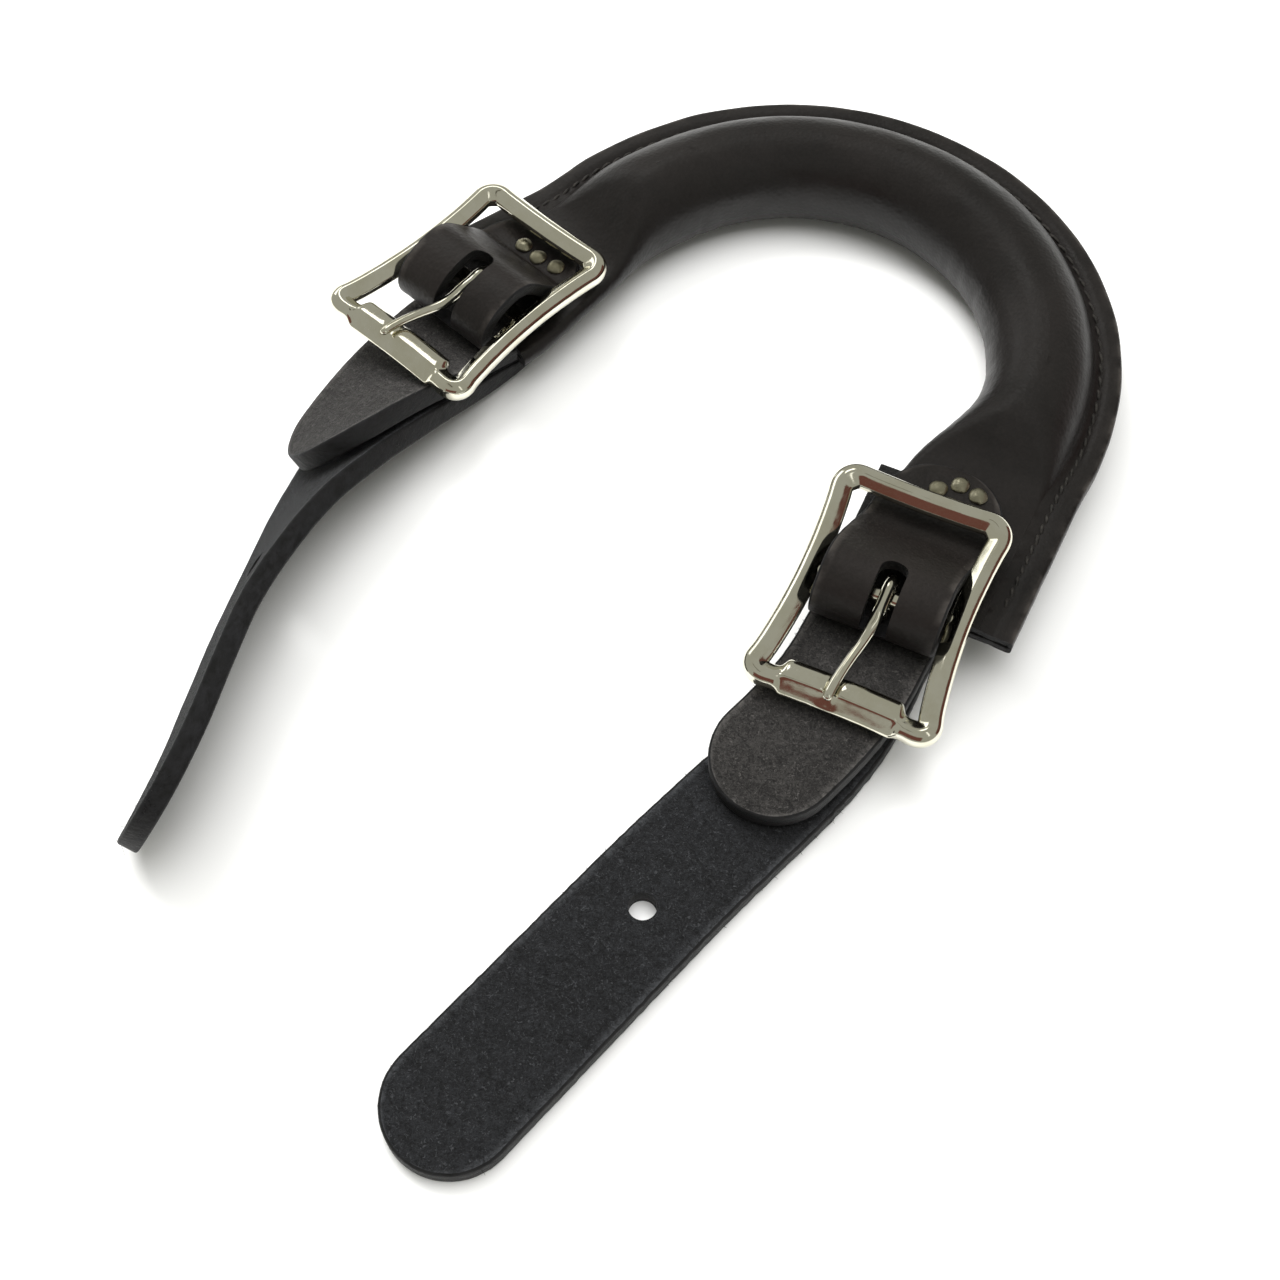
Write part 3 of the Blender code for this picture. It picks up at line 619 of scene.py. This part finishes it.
def build_stitching():
    """Lock stitches lying in the flange's groove, above and below."""
    bm = bmesh.new()
    rng = random.Random(7)
    for direction in (-1, 1):
        travelled, last = 0.0, None
        marks = []
        for i in range(0, 1120):
            length = direction * i * 0.1
            point, outward = arm_at(length)
            edge = section(length)[5]
            here = point + outward * (edge - FLANGE_W + GROOVE_IN)
            if last is not None:
                travelled += (here - last).length
            last = here
            marks.append((travelled, length))
        total = marks[-1][0]
        for k in range(int(total / STITCH_PITCH)):
            ends = []
            for fraction in (0.06, 0.3, 0.5, 0.7, 0.94):
                target = (k + fraction) * STITCH_PITCH
                ends.append(marks[min(int(len(marks) * target / total), len(marks) - 1)][1])
            for level in (1, -1):
                shift = rng.uniform(-0.12, 0.12)
                rings = []
                for fraction, length in zip((0.0, 0.25, 0.5, 0.75, 1.0), ends):
                    point, outward = arm_at(length)
                    _, _, _, _, flange_z, edge, flat = section(length)
                    depth = GROOVE_DEPTH * (1 - 0.5 * flat)
                    rise = math.sin(math.pi * fraction) * 0.34 - 0.2
                    z = flange_z + level * (FLANGE_HALF_T - depth + rise + 0.12)
                    slant = (fraction - 0.5) * 0.5
                    away = edge - FLANGE_W + GROOVE_IN + slant * direction + shift * 0.4
                    centre = point + outward * away + Vector((0, 0, z))
                    rings.append((centre, outward))
                verts = []
                for j, (centre, outward) in enumerate(rings):
                    radius = STITCH_R * (0.62 if j in (0, 4) else 1.0)
                    verts.append([bm.verts.new(to_world(centre + outward * math.cos(t) * radius
                                                        + Vector((0, 0, math.sin(t) * radius * 0.8))))
                                  for t in (math.pi * q / 3 for q in range(6))])
                for a, b in zip(verts, verts[1:]):
                    bridge(bm, a, b)
                bm.faces.new(verts[0][::-1])
                bm.faces.new(verts[-1])
    bmesh.ops.recalc_face_normals(bm, faces=bm.faces)
    new_object("dock_stitches", bm, [THREAD], "dock")


# ---------------------------------------------------------------- flat leather with rounded edges

def ribbon(at, stations, half, top_count, radius, tip_at=None, closed=(True, True), wobble=0.0, seed=0.0):
    """Return a bmesh of a strap: material 0 on its top, 1 on its edges, 2 below and 3 on caps.

    at(s) gives the point, across and normal directions and thickness at a length.  tip_at is the length of a
    rounded tip.
    """
    bm = bmesh.new()
    lip = bm.verts.layers.float.new("lip")
    rows = [(s, None) for s in stations]
    if tip_at is not None:
        rows += [(None, math.pi / 2 * i / 14) for i in range(1, 15)]
    corner = [math.pi / 2 * i / 4 for i in range(5)]
    template = [(mix(-1, 1, i / top_count), 1, 0.0, 0) for i in range(top_count + 1)]
    template += [(1, 1, t, 1) for t in corner[1:]]
    template += [(1, -1, t, 1) for t in reversed(corner[1:])]
    template += [(mix(1, -1, i / top_count), -1, 0.0, 2) for i in range(top_count + 1)]
    template += [(-1, -1, t, 1) for t in corner[1:]]
    template += [(-1, 1, t, 1) for t in reversed(corner[1:])]
    rings = []
    for s_row, theta in rows:
        ring = []
        for share, level, turn, _ in template:
            inset = radius * (1 - math.sin(turn))
            if theta is None:
                s, u = s_row, share * (half - inset)
                ragged = s_row
            else:
                s = tip_at - half + (half - inset) * math.sin(theta)
                u = share * (half - inset) * math.cos(theta)
                ragged = tip_at - half + half * theta
            point, across, normal, thick = at(s)
            if wobble:
                edge_noise = noise.noise(Vector((ragged * 0.55, share * 4.0, seed))) * wobble
                edge_noise += noise.noise(Vector((ragged * 2.3, share * 9.0, seed))) * wobble * 0.6
                u += (1 if share > 0 else -1) * abs(share) ** 6 * edge_noise
            h = level * (thick / 2 - radius * (1 - math.cos(turn)))
            if level > 0 and turn == 0.0 and wobble:
                h += noise.noise(Vector((s * 0.35, u * 0.35, seed + 5.0))) * 0.1
            vert = bm.verts.new(to_world(point + across * u + normal * h))
            worn = 0.3 < turn < 1.0 or abs(share) == 1 and turn == 0.0
            vert[lip] = 1.0 if level > 0 and worn else 0.0
            ring.append(vert)
        rings.append(ring)
    count = len(template)
    for a, b in zip(rings, rings[1:]):
        for i, face in enumerate(bridge(bm, a, b)):
            kinds = {template[i][3], template[(i + 1) % count][3]}
            face.material_index = 1 if 1 in kinds else template[i][3]
    if closed[0]:
        bm.faces.new(rings[0][::-1]).material_index = 3
    if closed[1] and tip_at is None:
        bm.faces.new(rings[-1]).material_index = 3
    if tip_at is not None:
        last = rings[-1]
        bmesh.ops.remove_doubles(bm, verts=last, dist=0.00002)
        loose = [e for e in bm.edges if e.is_boundary]
        if closed[0] and loose:
            bmesh.ops.holes_fill(bm, edges=loose, sides=0)
    bmesh.ops.recalc_face_normals(bm, faces=bm.faces)
    return bm


def strip_lines(side):
    """Return the fine lines of a side's strap and of the safe over it, as (x, y, z, roll, thickness)."""
    controls = [(*end_point(side, 0.0, v, z), 0.0, thick) for v, z, thick in side["strap"]]
    controls += [(*values, STRAP_T) for values in side["run"]]
    lifts = [*side["lift"], *[side["lift"][-1]] * (len(controls) - len(side["lift"]))]
    line = spline([(*values, lift) for values, lift in zip(controls, lifts)], 2.0)
    lengths = lengths_along(line)
    safe = []
    for values, length in zip(line, lengths):
        if length <= side["safe_length"]:
            point, across, normal, _ = strip_frame(values[:5], sample(line, lengths, length)[1])
            drift = side["safe_shift"] * smoothstep(length, 35.0, side["safe_length"])
            safe.append((*(point + across * drift + normal * values[5]), *values[3:5]))
    return [values[:5] for values in line], safe


def strip_frame(values, forward):
    x, y, z, roll, thick = values
    across = Vector((0, 0, 1)).cross(forward).normalized()
    turn = Matrix.Rotation(math.radians(roll), 3, forward)
    return Vector((x, y, z)), turn @ across, turn @ forward.cross(across), thick


def strip_at(line):
    lengths = lengths_along(line)
    return (lambda s: strip_frame(*sample(line, lengths, s))), lengths[-1]


def spaced(start, end, step):
    count = max(1, math.ceil((end - start) / step))
    return [mix(start, end, i / count) for i in range(count + 1)]


def fibres(name, at, spots, body, seed, mat, blend=None):
    """Stray hairs standing out of a cut edge: spots are (length, across share, height share, how many, reach)."""
    rng = random.Random(seed)
    bm = bmesh.new()
    for s0, s1, share, count, reach in spots:
        for _ in range(count):
            s = rng.uniform(s0, s1)
            point, across, normal, thick = at(s)
            forward = across.cross(normal)
            start = point + across * (share * (STRAP_W / 2 - 0.1)) + normal * thick * rng.uniform(-0.42, 0.48)
            aim = across * share * rng.uniform(0.3, 1.0) + normal * rng.uniform(-0.25, 0.5)
            aim += forward * rng.uniform(-0.9, 0.9)
            aim.normalize()
            bend = Vector([rng.uniform(-1, 1) for _ in range(3)]) * 0.55
            size = reach * rng.uniform(0.35, 1.0)
            radius = rng.uniform(0.05, 0.09)
            centres = [start + aim * size * t + bend * size * t * t for t in (0.0, 0.3, 0.6, 0.85, 1.0)]
            verts = []
            for j, centre in enumerate(centres):
                r = radius * (1 - 0.75 * j / 4)
                side_a = aim.cross(normal if abs(aim.dot(normal)) < 0.9 else across).normalized()
                side_b = aim.cross(side_a)
                verts.append([bm.verts.new(to_world(centre + side_a * r * math.cos(t) + side_b * r * math.sin(t)))
                              for t in (0.0, 2.094, 4.189)])
            for a, b in zip(verts, verts[1:]):
                bridge(bm, a, b)
    bmesh.ops.recalc_face_normals(bm, faces=bm.faces)
    for vert in bm.verts:
        vert.co.z = max(vert.co.z, 0.00003)
    obj = new_object(name, bm, [mat])
    if blend:
        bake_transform(obj)
    else:
        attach(obj, body)


def build_strap(prefix, line):
    """The long strap, parted where no bend reaches it into a near part and a tip part."""
    at, total = strip_at(line)
    first, second, seam = total - 2 * STRAP_LINK, total - STRAP_LINK, total - SEAM
    seed = 1.0 if prefix == "right" else 6.0
    materials = [STRAP_NAP, EDGE, UNDER_LEATHER, EDGE]

    def row_point(s):
        return tuple(to_world(at(s)[0]))

    near = ribbon(at, spaced(0.0, seam, 1.3), STRAP_W / 2, 18, 0.55, wobble=0.14, seed=seed)
    piece = new_object(prefix + "_strap_leather_near", near, materials)
    point, across, normal, _ = at(total - STRAP_HOLE)
    bm = bmesh.new()
    bmesh.ops.create_cone(bm, cap_ends=True, segments=40, radius1=STRAP_HOLE_R * MM, radius2=STRAP_HOLE_R * MM,
                          depth=14 * MM)
    turn = normal.to_track_quat("Z", "Y").to_matrix().to_4x4()
    bm.transform(Matrix.Translation(to_world(point)) @ turn)
    cutter = new_object("hole_cutter", bm, [EDGE])
    cut(piece, cutter)
    bm = bmesh.new()
    bm.from_mesh(piece.data)
    at_seam = to_world(at(seam)[0])
    forward = (to_world(at(seam)[0]) - to_world(at(seam - 1.0)[0])).normalized()
    caps = [f for f in bm.faces if abs((f.calc_center_median() - at_seam).dot(forward)) < 0.00005
            and abs(f.normal.dot(forward)) > 0.9]
    bmesh.ops.delete(bm, geom=caps, context="FACES")
    bm.to_mesh(piece.data)
    bm.free()
    piece.data.set_sharp_from_angle(angle=math.radians(48))
    tip = prefix + "_strap_tip"
    row_point(first - 6.0)
    row_point(first + 6.0)
    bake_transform(piece)
    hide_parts(prefix + "_strap_base", prefix + "_strap_middle")
    far = ribbon(at, spaced(seam, total - STRAP_W / 2, 1.3), STRAP_W / 2, 18, 0.55, tip_at=total,
                 closed=(False, True), wobble=0.14, seed=seed)
    piece = new_object(prefix + "_strap_leather_tip", far, materials)
    piece.data.set_sharp_from_angle(angle=math.radians(48))
    row_point(second - 6.0)
    row_point(second + 6.0)
    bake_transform(piece)
    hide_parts(tip)
    return at, total, first, second


def build_safe(prefix, line):
    at, total = strip_at(line)
    bm = ribbon(at, spaced(0.0, total - STRAP_W / 2, 1.3), STRAP_W / 2, 18, 0.5, tip_at=total, wobble=0.08,
                seed=3.0 if prefix == "right" else 8.0)
    new_object(prefix + "_safe_leather", bm, [SAFE_NAP, EDGE, UNDER_LEATHER, EDGE], "dock", [prefix + "_safe"],
               48)
    return at, total


def chape_line(side):
    """Return fine (v, z, 0, thickness) points along the chape, from its return to its riveted tail."""
    middle_r = LOOP_IN_R + CHAPE_T / 2
    bar_z = side["bar_z"]
    land_v, land_z = side["landing"], side["tail"]
    reach = math.hypot(land_v, land_z - bar_z)
    leave = math.atan2(land_z - bar_z, land_v) + math.acos(middle_r / reach)
    path = [(side["chape_end"], land_z - 0.3, 0.0, 1.3), (side["chape_end"] - 3.5, land_z, 0.0, TAIL_T)]
    path += [(land_v + 3.0, land_z, 0.0, TAIL_T), (land_v, land_z + 0.1, 0.0, TAIL_T)]
    start_v, start_z = middle_r * math.cos(leave), bar_z + middle_r * math.sin(leave)
    path.append((mix(land_v, start_v, 0.15), mix(land_z, start_z, 0.15), 0.0, TAIL_T))
    path.append((mix(land_v, start_v, 0.6), mix(land_z, start_z, 0.6), 0.0, CHAPE_T))
    for i in range(17):
        angle = mix(leave, 1.5 * math.pi, i / 16)
        v = math.cos(angle) * (middle_r + (side["loop_reach"] if math.cos(angle) < 0 else 0.0))
        path.append((v, bar_z + middle_r * math.sin(angle), 0.0, CHAPE_T))
    low = bar_z - middle_r
    path.append((5.0, mix(low, side["return"], 0.3), 0.0, 2.2))
    path.append((11.0, side["return"], 0.0, RETURN_T))
    path.append((side["chape_end"] - 1.0, side["return"], 0.0, RETURN_T))
    return spline(path[::-1], 0.7)


def build_chape(prefix, side):
    line = chape_line(side)
    lengths = lengths_along(line)
    yaw = math.radians(side["yaw"])
    across = Vector((math.cos(yaw), math.sin(yaw), 0.0))

    def at(s):
        (v, z, _, thick), forward = sample(line, lengths, s)
        out = Vector((-forward.y, forward.x))
        along = Vector((-math.sin(yaw), math.cos(yaw), 0.0))
        drift = side["tail_shift"] * smoothstep(s, 0.62 * lengths[-1], 0.92 * lengths[-1])
        return end_point(side, drift, v, z), across, along * out.x + Vector((0, 0, out.y)), thick

    total = lengths[-1]
    bm = ribbon(at, spaced(0.0, total - STRAP_W / 2, 0.8), STRAP_W / 2, 16, 0.45, tip_at=total,
                wobble=0.05, seed=2.0)
    chape = new_object(prefix + "_chape_leather", bm, [CHAPE_LEATHER, EDGE, INNER_NAP, EDGE])
    u, half = side["tongue_u"][0], SLOT_HALF_W
    outline = [(u + half * math.cos(t), SLOT_BACK - half + half * math.sin(t))
               for t in (math.pi * i / 12 for i in range(13))]
    outline += [(u - half, -16.0), (u + half, -16.0)]
    low, high = side["bar_z"] - 2.0, side["bar_z"] + 12.0
    cutter = prism("slot", outline, lambda a, b: end_point(side, a, b, low),
                   lambda a, b: end_point(side, a, b, high))
    cutter.data.materials.append(EDGE)
    cut(chape, cutter)
    chape.data.set_sharp_from_angle(angle=math.radians(45))
    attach(chape, "dock")
    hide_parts(prefix + "_chape")


# ---------------------------------------------------------------- metal

RAIL = ((2.3, -1.1), (2.4, 0.2), (2.15, 1.1), (1.5, 1.72), (0.7, 2.12), (0.2, 2.22), (-0.3, 2.06), (-1.1, 1.45),
        (-1.75, 0.95), (-2.2, 0.62), (-2.42, 0.1), (-2.35, -0.8), (-1.8, -1.65),
        (-0.7, -2.1), (0.7, -2.15), (1.75, -1.8))
FACET = ((2.3, -1.45), (2.75, -1.0), (2.8, -0.62), (2.55, -0.28), (1.5, 0.68), (0.5, 1.62), (0.0, 2.12),
         (-0.3, 2.24),
         (-2.1, 2.15), (-3.6, 1.6), (-4.5, 0.6), (-4.55, -0.7), (-3.9, -1.6), (-1.2, -2.1),
         (0.7, -2.15), (1.6, -1.95))


def frame_stations():
    """Return the frame's middle line as (x, y, near share, corner share)."""
    half_w, half_l, corner_r = (BUCKLE_W - FRAME_W) / 2, (BUCKLE_L - FRAME_W) / 2, FRAME_CORNER_R
    points = []
    for k, (sx, sy) in enumerate(((1, 1), (-1, 1), (-1, -1), (1, -1))):
        centre = (sx * (half_w - corner_r), sy * (half_l - corner_r))
        for i in range(9):
            angle = math.pi / 2 * (k + i / 8)
            points.append((centre[0] + corner_r * math.cos(angle), centre[1] + corner_r * math.sin(angle), 0.0,
                           math.sin(math.pi * i / 8)))
        nx, ny = ((0, 1), (-1, 0), (0, -1), (1, 0))[k]
        run = (half_w if nx == 0 else half_l) - corner_r
        depth = SIDE_WAIST if ny == 0 else END_WAIST
        start = points[-1]
        step = (-ny * 2 * run, nx * 2 * run)
        for i in range(1, 34):
            share = i / 34
            sink = depth * math.sin(math.pi * share) ** 0.8
            x = start[0] + step[0] * share - nx * sink
            y = start[1] + step[1] * share - ny * sink
            near = 1 - smoothstep(abs(x), FACET_HALF_W, FACET_HALF_W + 0.9) if ny < 0 else 0.0
            points.append((x, y, near, 0.0))
    return [(x * (1 - BUCKLE_FLARE * y / half_l) + math.copysign(0.7, x) * corner * (y < 0),
             y - BAR_OFFSET - 0.4 * corner * (y < 0), near, corner) for x, y, near, corner in points]


def build_buckle(prefix, side):
    outline = frame_stations()
    count = len(outline)
    bm = bmesh.new()
    rings = []
    rest_u = side["tongue_u"][1]
    for i, (x, y, near, corner) in enumerate(outline):
        before, after = outline[i - 1], outline[(i + 1) % count]
        dx, dy = after[0] - before[0], after[1] - before[1]
        size = math.hypot(dx, dy)
        nx, ny = dy / size, -dx / size
        swell = 1 + 0.1 * corner
        ring = []
        for (out_a, up_a), (out_b, up_b) in zip(RAIL, FACET):
            out, up = mix(out_a, out_b, near) * swell, mix(up_a, up_b, near) * (1 + 0.06 * corner)
            if y < -18 and up > 0:
                dip = REST_DEPTH * math.exp(-((x - rest_u) / REST_HALF_W) ** 2)
                up = max(up - dip, 0.2)
            ring.append(bm.verts.new(to_world(buckle_point(side, x + nx * out, y + ny * out, FRAME_LIFT + up))))
        rings.append(ring)
    for i, a in enumerate(rings):
        bridge(bm, a, rings[(i + 1) % count])
    reach = BUCKLE_W / 2 - FRAME_W / 2 - 0.8
    bars = []
    for i in range(13):
        x = mix(-reach, reach, i / 12)
        swell = 1 + 0.28 * smoothstep(abs(x), reach - 3.2, reach)
        bars.append([bm.verts.new(to_world(buckle_point(side, x, BAR_R * swell * math.cos(t),
                                                        BAR_R * swell * math.sin(t))))
                     for t in (math.pi * k / 12 for k in range(24))])
    for a, b in zip(bars, bars[1:]):
        bridge(bm, a, b)
    bm.faces.new(bars[0][::-1])
    bm.faces.new(bars[-1])
    bmesh.ops.recalc_face_normals(bm, faces=bm.faces)
    buckle = new_object(prefix + "_buckle_cast", bm, [NICKEL], prefix + "_buckle", [prefix + "_buckle_frame"])
    smooth = buckle.modifiers.new("smooth", "SUBSURF")
    smooth.levels = 1
    smooth.render_levels = 1


def build_tongue(prefix, side):
    hook_r = BAR_R + HOOK_GAP + TONGUE_R
    path = []
    for i in range(13):
        angle = math.radians(mix(-165.0, 112.0, i / 12))
        path.append((hook_r * math.cos(angle), hook_r * math.sin(angle), 0.0, TONGUE_R))
    path += [(-4.4, 3.0, 0.0, 1.26), (-6.8, 2.4, 0.0, 1.2), (-9.4, 2.1, 0.0, 1.12), (-12.4, 2.3, 0.0, 1.06),
             (-16.5, 2.9, 0.0, 0.98), (-20.6, 3.45, 0.0, 0.92), (-23.0, 3.7, 0.0, 0.86), (-24.1, 3.66, 0.0, 0.8)]
    line = spline(path, 0.7)
    start_u, end_u = side["tongue_u"]
    bm = bmesh.new()
    rings = []
    tip = line[-1]
    stations = line + [(tip[0] - 0.45, tip[1] - 0.05, 0.0, 0.6), (tip[0] - 0.65, tip[1] - 0.08, 0.0, 0.28)]
    for i, (y, z, _, radius) in enumerate(stations):
        before, after = stations[max(i - 1, 0)], stations[min(i + 1, len(stations) - 1)]
        dy, dz = after[0] - before[0], after[1] - before[1]
        size = math.hypot(dy, dz)
        ny, nz = -dz / size, dy / size
        u = mix(start_u, end_u, smoothstep(-y, 4.0, 24.0))
        flat = smoothstep(-y, 14.0, 23.0)
        wide, tall = radius * (1 + 0.12 * flat), radius * (1 - 0.18 * flat)
        ring = []
        for k in range(16):
            t = 2 * math.pi * k / 16
            ring.append(bm.verts.new(to_world(buckle_point(
                side, u + wide * math.cos(t), y + ny * tall * math.sin(t), z + nz * tall * math.sin(t)))))
        rings.append(ring)
    for a, b in zip(rings, rings[1:]):
        bridge(bm, a, b)
    bm.faces.new(rings[0][::-1])
    bm.faces.new(rings[-1])
    bmesh.ops.recalc_face_normals(bm, faces=bm.faces)
    new_object(prefix + "_tongue_wire", bm, [NICKEL], prefix + "_tongue", [prefix + "_tongue"],
               60)


def build_rivets(prefix, side):
    """Rivets with domed heads, each hammered a little out of round, set over their burrs."""
    top = side["rivet_top"]
    drop = side["rivet_foot"] - 0.36 - top
    profile = [(0.35, 1.02), (0.8, 0.96), (1.25, 0.8), (1.6, 0.58), (1.85, 0.32), (1.92, 0.12), (1.86, 0.0),
               (1.0, 0.0), (1.0, drop), (1.5, drop - 0.05), (1.45, drop - 0.6), (0.9, drop - 0.95)]
    for index, (u, v) in enumerate(side["rivets"], start=1):
        centre = end_point(side, u, v, 0.0)
        bm = bmesh.new()
        crown = bm.verts.new(to_world(centre + Vector((0, 0, top + 1.04))))
        rings = []
        for radius, height in profile:
            ring = []
            for k in range(28):
                t = 2 * math.pi * k / 28
                wave = noise.noise(Vector((math.cos(t) * 1.3, math.sin(t) * 1.3, index * 3.1 + height))) * 0.16
                spot = Vector((radius * math.cos(t) * 1.1, radius * math.sin(t) * 1.1, index * 7.7))
                dent = noise.noise(spot) * 0.18
                r = radius * (1 + wave * (0.6 if height >= 0 else 0))
                h = height - (max(dent, 0.0) if height > 0.3 else 0.0)
                place = centre + Vector((r * math.cos(t), r * math.sin(t), top + 0.06 + h))
                ring.append(bm.verts.new(to_world(place)))
            rings.append(ring)
        for k in range(28):
            bm.faces.new((crown, rings[0][k], rings[0][(k + 1) % 28]))
        for a, b in zip(rings, rings[1:]):
            for k in range(28):
                bm.faces.new((a[k], b[k], b[(k + 1) % 28], a[(k + 1) % 28]))
        bm.faces.new(rings[-1])
        bmesh.ops.recalc_face_normals(bm, faces=bm.faces)
        new_object(f"{prefix}_domed_rivet_{index}", bm, [RIVET_NICKEL], "dock", [f"{prefix}_rivet_{index}"],
                   50)
        repaint(f"{prefix}_burr_{index}", RIVET_NICKEL)


# ---------------------------------------------------------------- build

build_cover()
build_stitching()
repaint("dock_core", ROPE)
for prefix, side in SIDES.items():
    strap_line, safe_line = strip_lines(side)
    at, total, first, second = build_strap(prefix, strap_line)
    safe_at, safe_total = build_safe(prefix, safe_line)
    build_chape(prefix, side)
    build_buckle(prefix, side)
    build_tongue(prefix, side)
    build_rivets(prefix, side)
    tip_spots = [(total - 12.0, total - 1.0, *frayed) for frayed in side["frayed"]]

    def rounded(s, at=at, total=total):
        """Carry the edge in where the tip is round."""
        point, across, normal, thick = at(s)
        inset = max(STRAP_W / 2 - (total - s), 0.0)
        half = math.sqrt(max((STRAP_W / 2) ** 2 - inset ** 2, 0.0))
        return point, across * (half / (STRAP_W / 2)), normal, thick

    hinge_zone = tuple(to_world(at(second - 6.0)[0])), tuple(to_world(at(second + 6.0)[0]))
    fibres(prefix + "_tip_fibres", rounded, tip_spots, None, 31, EDGE,
           (prefix + "_strap_middle", prefix + "_strap_tip", *hinge_zone))
    near_zone = tuple(to_world(at(first - 6.0)[0])), tuple(to_world(at(first + 6.0)[0]))
    edge_spots = ((58.0, total - SEAM, -1, 46, 0.9), (58.0, total - SEAM, 1, 30, 0.8))
    fibres(prefix + "_edge_fibres", at, edge_spots, None, 37, EDGE,
           ("dock", prefix + "_strap_middle", *near_zone))
    safe_end = safe_total - STRAP_W / 2
    safe_spots = ((40.0, safe_end, -1, 22, 0.7), (40.0, safe_end, 1, 14, 0.6))
    fibres(prefix + "_safe_fibres", safe_at, safe_spots, "dock", 41, SAFE_NAP)


# ---------------------------------------------------------------- floor, light and camera

# The point that the lights and the reflected cards stand round
MIDDLE = to_world((0.0, -105.0, 0.0))


def build_floor():
    bm = bmesh.new()
    bmesh.ops.create_grid(bm, x_segments=2, y_segments=2, size=3.0)
    floor = new_object("floor", bm, [])
    n = Nodes("floor_paper")
    tone = n.noise(6.0, 3.0)
    n.colour(n.colours(tone, ((0.3, (0.86, 0.86, 0.86)), (0.7, (0.88, 0.88, 0.875)))))
    n.shader.inputs["Roughness"].default_value = 0.85
    n.shader.inputs["Specular IOR Level"].default_value = 0.1
    floor.data.materials.append(n.material)
    floor.location.z = -0.00002


def card(name, offset, size, colour, strength):
    """A plain panel outside the view that the metal reflects."""
    bm = bmesh.new()
    bmesh.ops.create_grid(bm, x_segments=1, y_segments=1, size=0.5)
    obj = new_object(name, bm, [])
    obj.scale = (size[0], size[1], 1.0)
    obj.location = MIDDLE + Vector(offset)
    obj.rotation_euler = (MIDDLE - obj.location).to_track_quat("Z", "Y").to_euler()
    mat = bpy.data.materials.new(name)
    mat.use_nodes = True
    shader = mat.node_tree.nodes["Principled BSDF"]
    shader.inputs["Base Color"].default_value = (0.0, 0.0, 0.0, 1.0)
    shader.inputs["Specular IOR Level"].default_value = 0.0
    shader.inputs["Roughness"].default_value = 0.9
    shader.inputs["Emission Color"].default_value = (*colour, 1.0)
    shader.inputs["Emission Strength"].default_value = strength
    obj.data.materials.append(mat)
    obj.visible_camera = False
    obj.visible_shadow = False
    obj.visible_diffuse = False


def area(name, offset, size, power, colour=(1.0, 1.0, 1.0)):
    data = bpy.data.lights.new(name, "AREA")
    data.shape = "RECTANGLE"
    data.size = data.size_y = size
    data.energy = power
    data.color = colour
    obj = bpy.data.objects.new(name, data)
    bpy.context.scene.collection.objects.link(obj)
    obj.location = MIDDLE + Vector(offset)
    obj.rotation_euler = (MIDDLE - obj.location).to_track_quat("-Z", "Y").to_euler()
    obj.visible_glossy = False


build_floor()
area("key", (-0.62, 0.16, 0.75), 0.5, 9.5, (1.0, 0.995, 0.985))
area("top", (0.05, 0.1, 1.0), 0.9, 11.0)
card("window_card", (-0.5, 0.42, 0.8), (0.3, 0.34), (1.0, 1.0, 0.97), 2.4)
card("front_card", (0.26, -0.78, 0.4), (0.85, 0.42), (0.15, 0.062, 0.05), 1.0)
card("back_card", (0.62, 0.62, 0.22), (1.0, 0.4), (0.12, 0.05, 0.04), 1.0)
card("side_card", (-0.8, 0.18, 0.36), (0.42, 0.24), (1.0, 1.0, 0.98), 2.0)
card("strip_card", (0.5, -0.1, 0.62), (0.07, 0.5), (1.0, 1.0, 0.97), 1.5)
card("shade_card", (-0.12, -0.3, 0.8), (0.4, 0.08), (0.1, 0.09, 0.07), 1.0)

world = bpy.data.worlds.new("studio")
bpy.context.scene.world = world
world.use_nodes = True
background = world.node_tree.nodes["Background"]
background.inputs["Color"].default_value = (0.5, 0.5, 0.455, 1.0)
background.inputs["Strength"].default_value = 0.8

camera_data = bpy.data.cameras.new("camera")
camera_data.sensor_width = SENSOR_W
camera_data.lens = SENSOR_W * FOCAL_PX / PHOTO_PX
camera_data.clip_start = 0.01
camera = bpy.data.objects.new("camera", camera_data)
bpy.context.scene.collection.objects.link(camera)
camera.location = to_world(CAMERA_AT)
aim = to_world(CAMERA_AIM) - camera.location
camera.rotation_euler = aim.to_track_quat("-Z", "Y").to_euler()
bpy.context.scene.camera = camera
bpy.context.scene.view_settings.view_transform = "Standard"
bpy.context.scene.view_settings.look = "None"
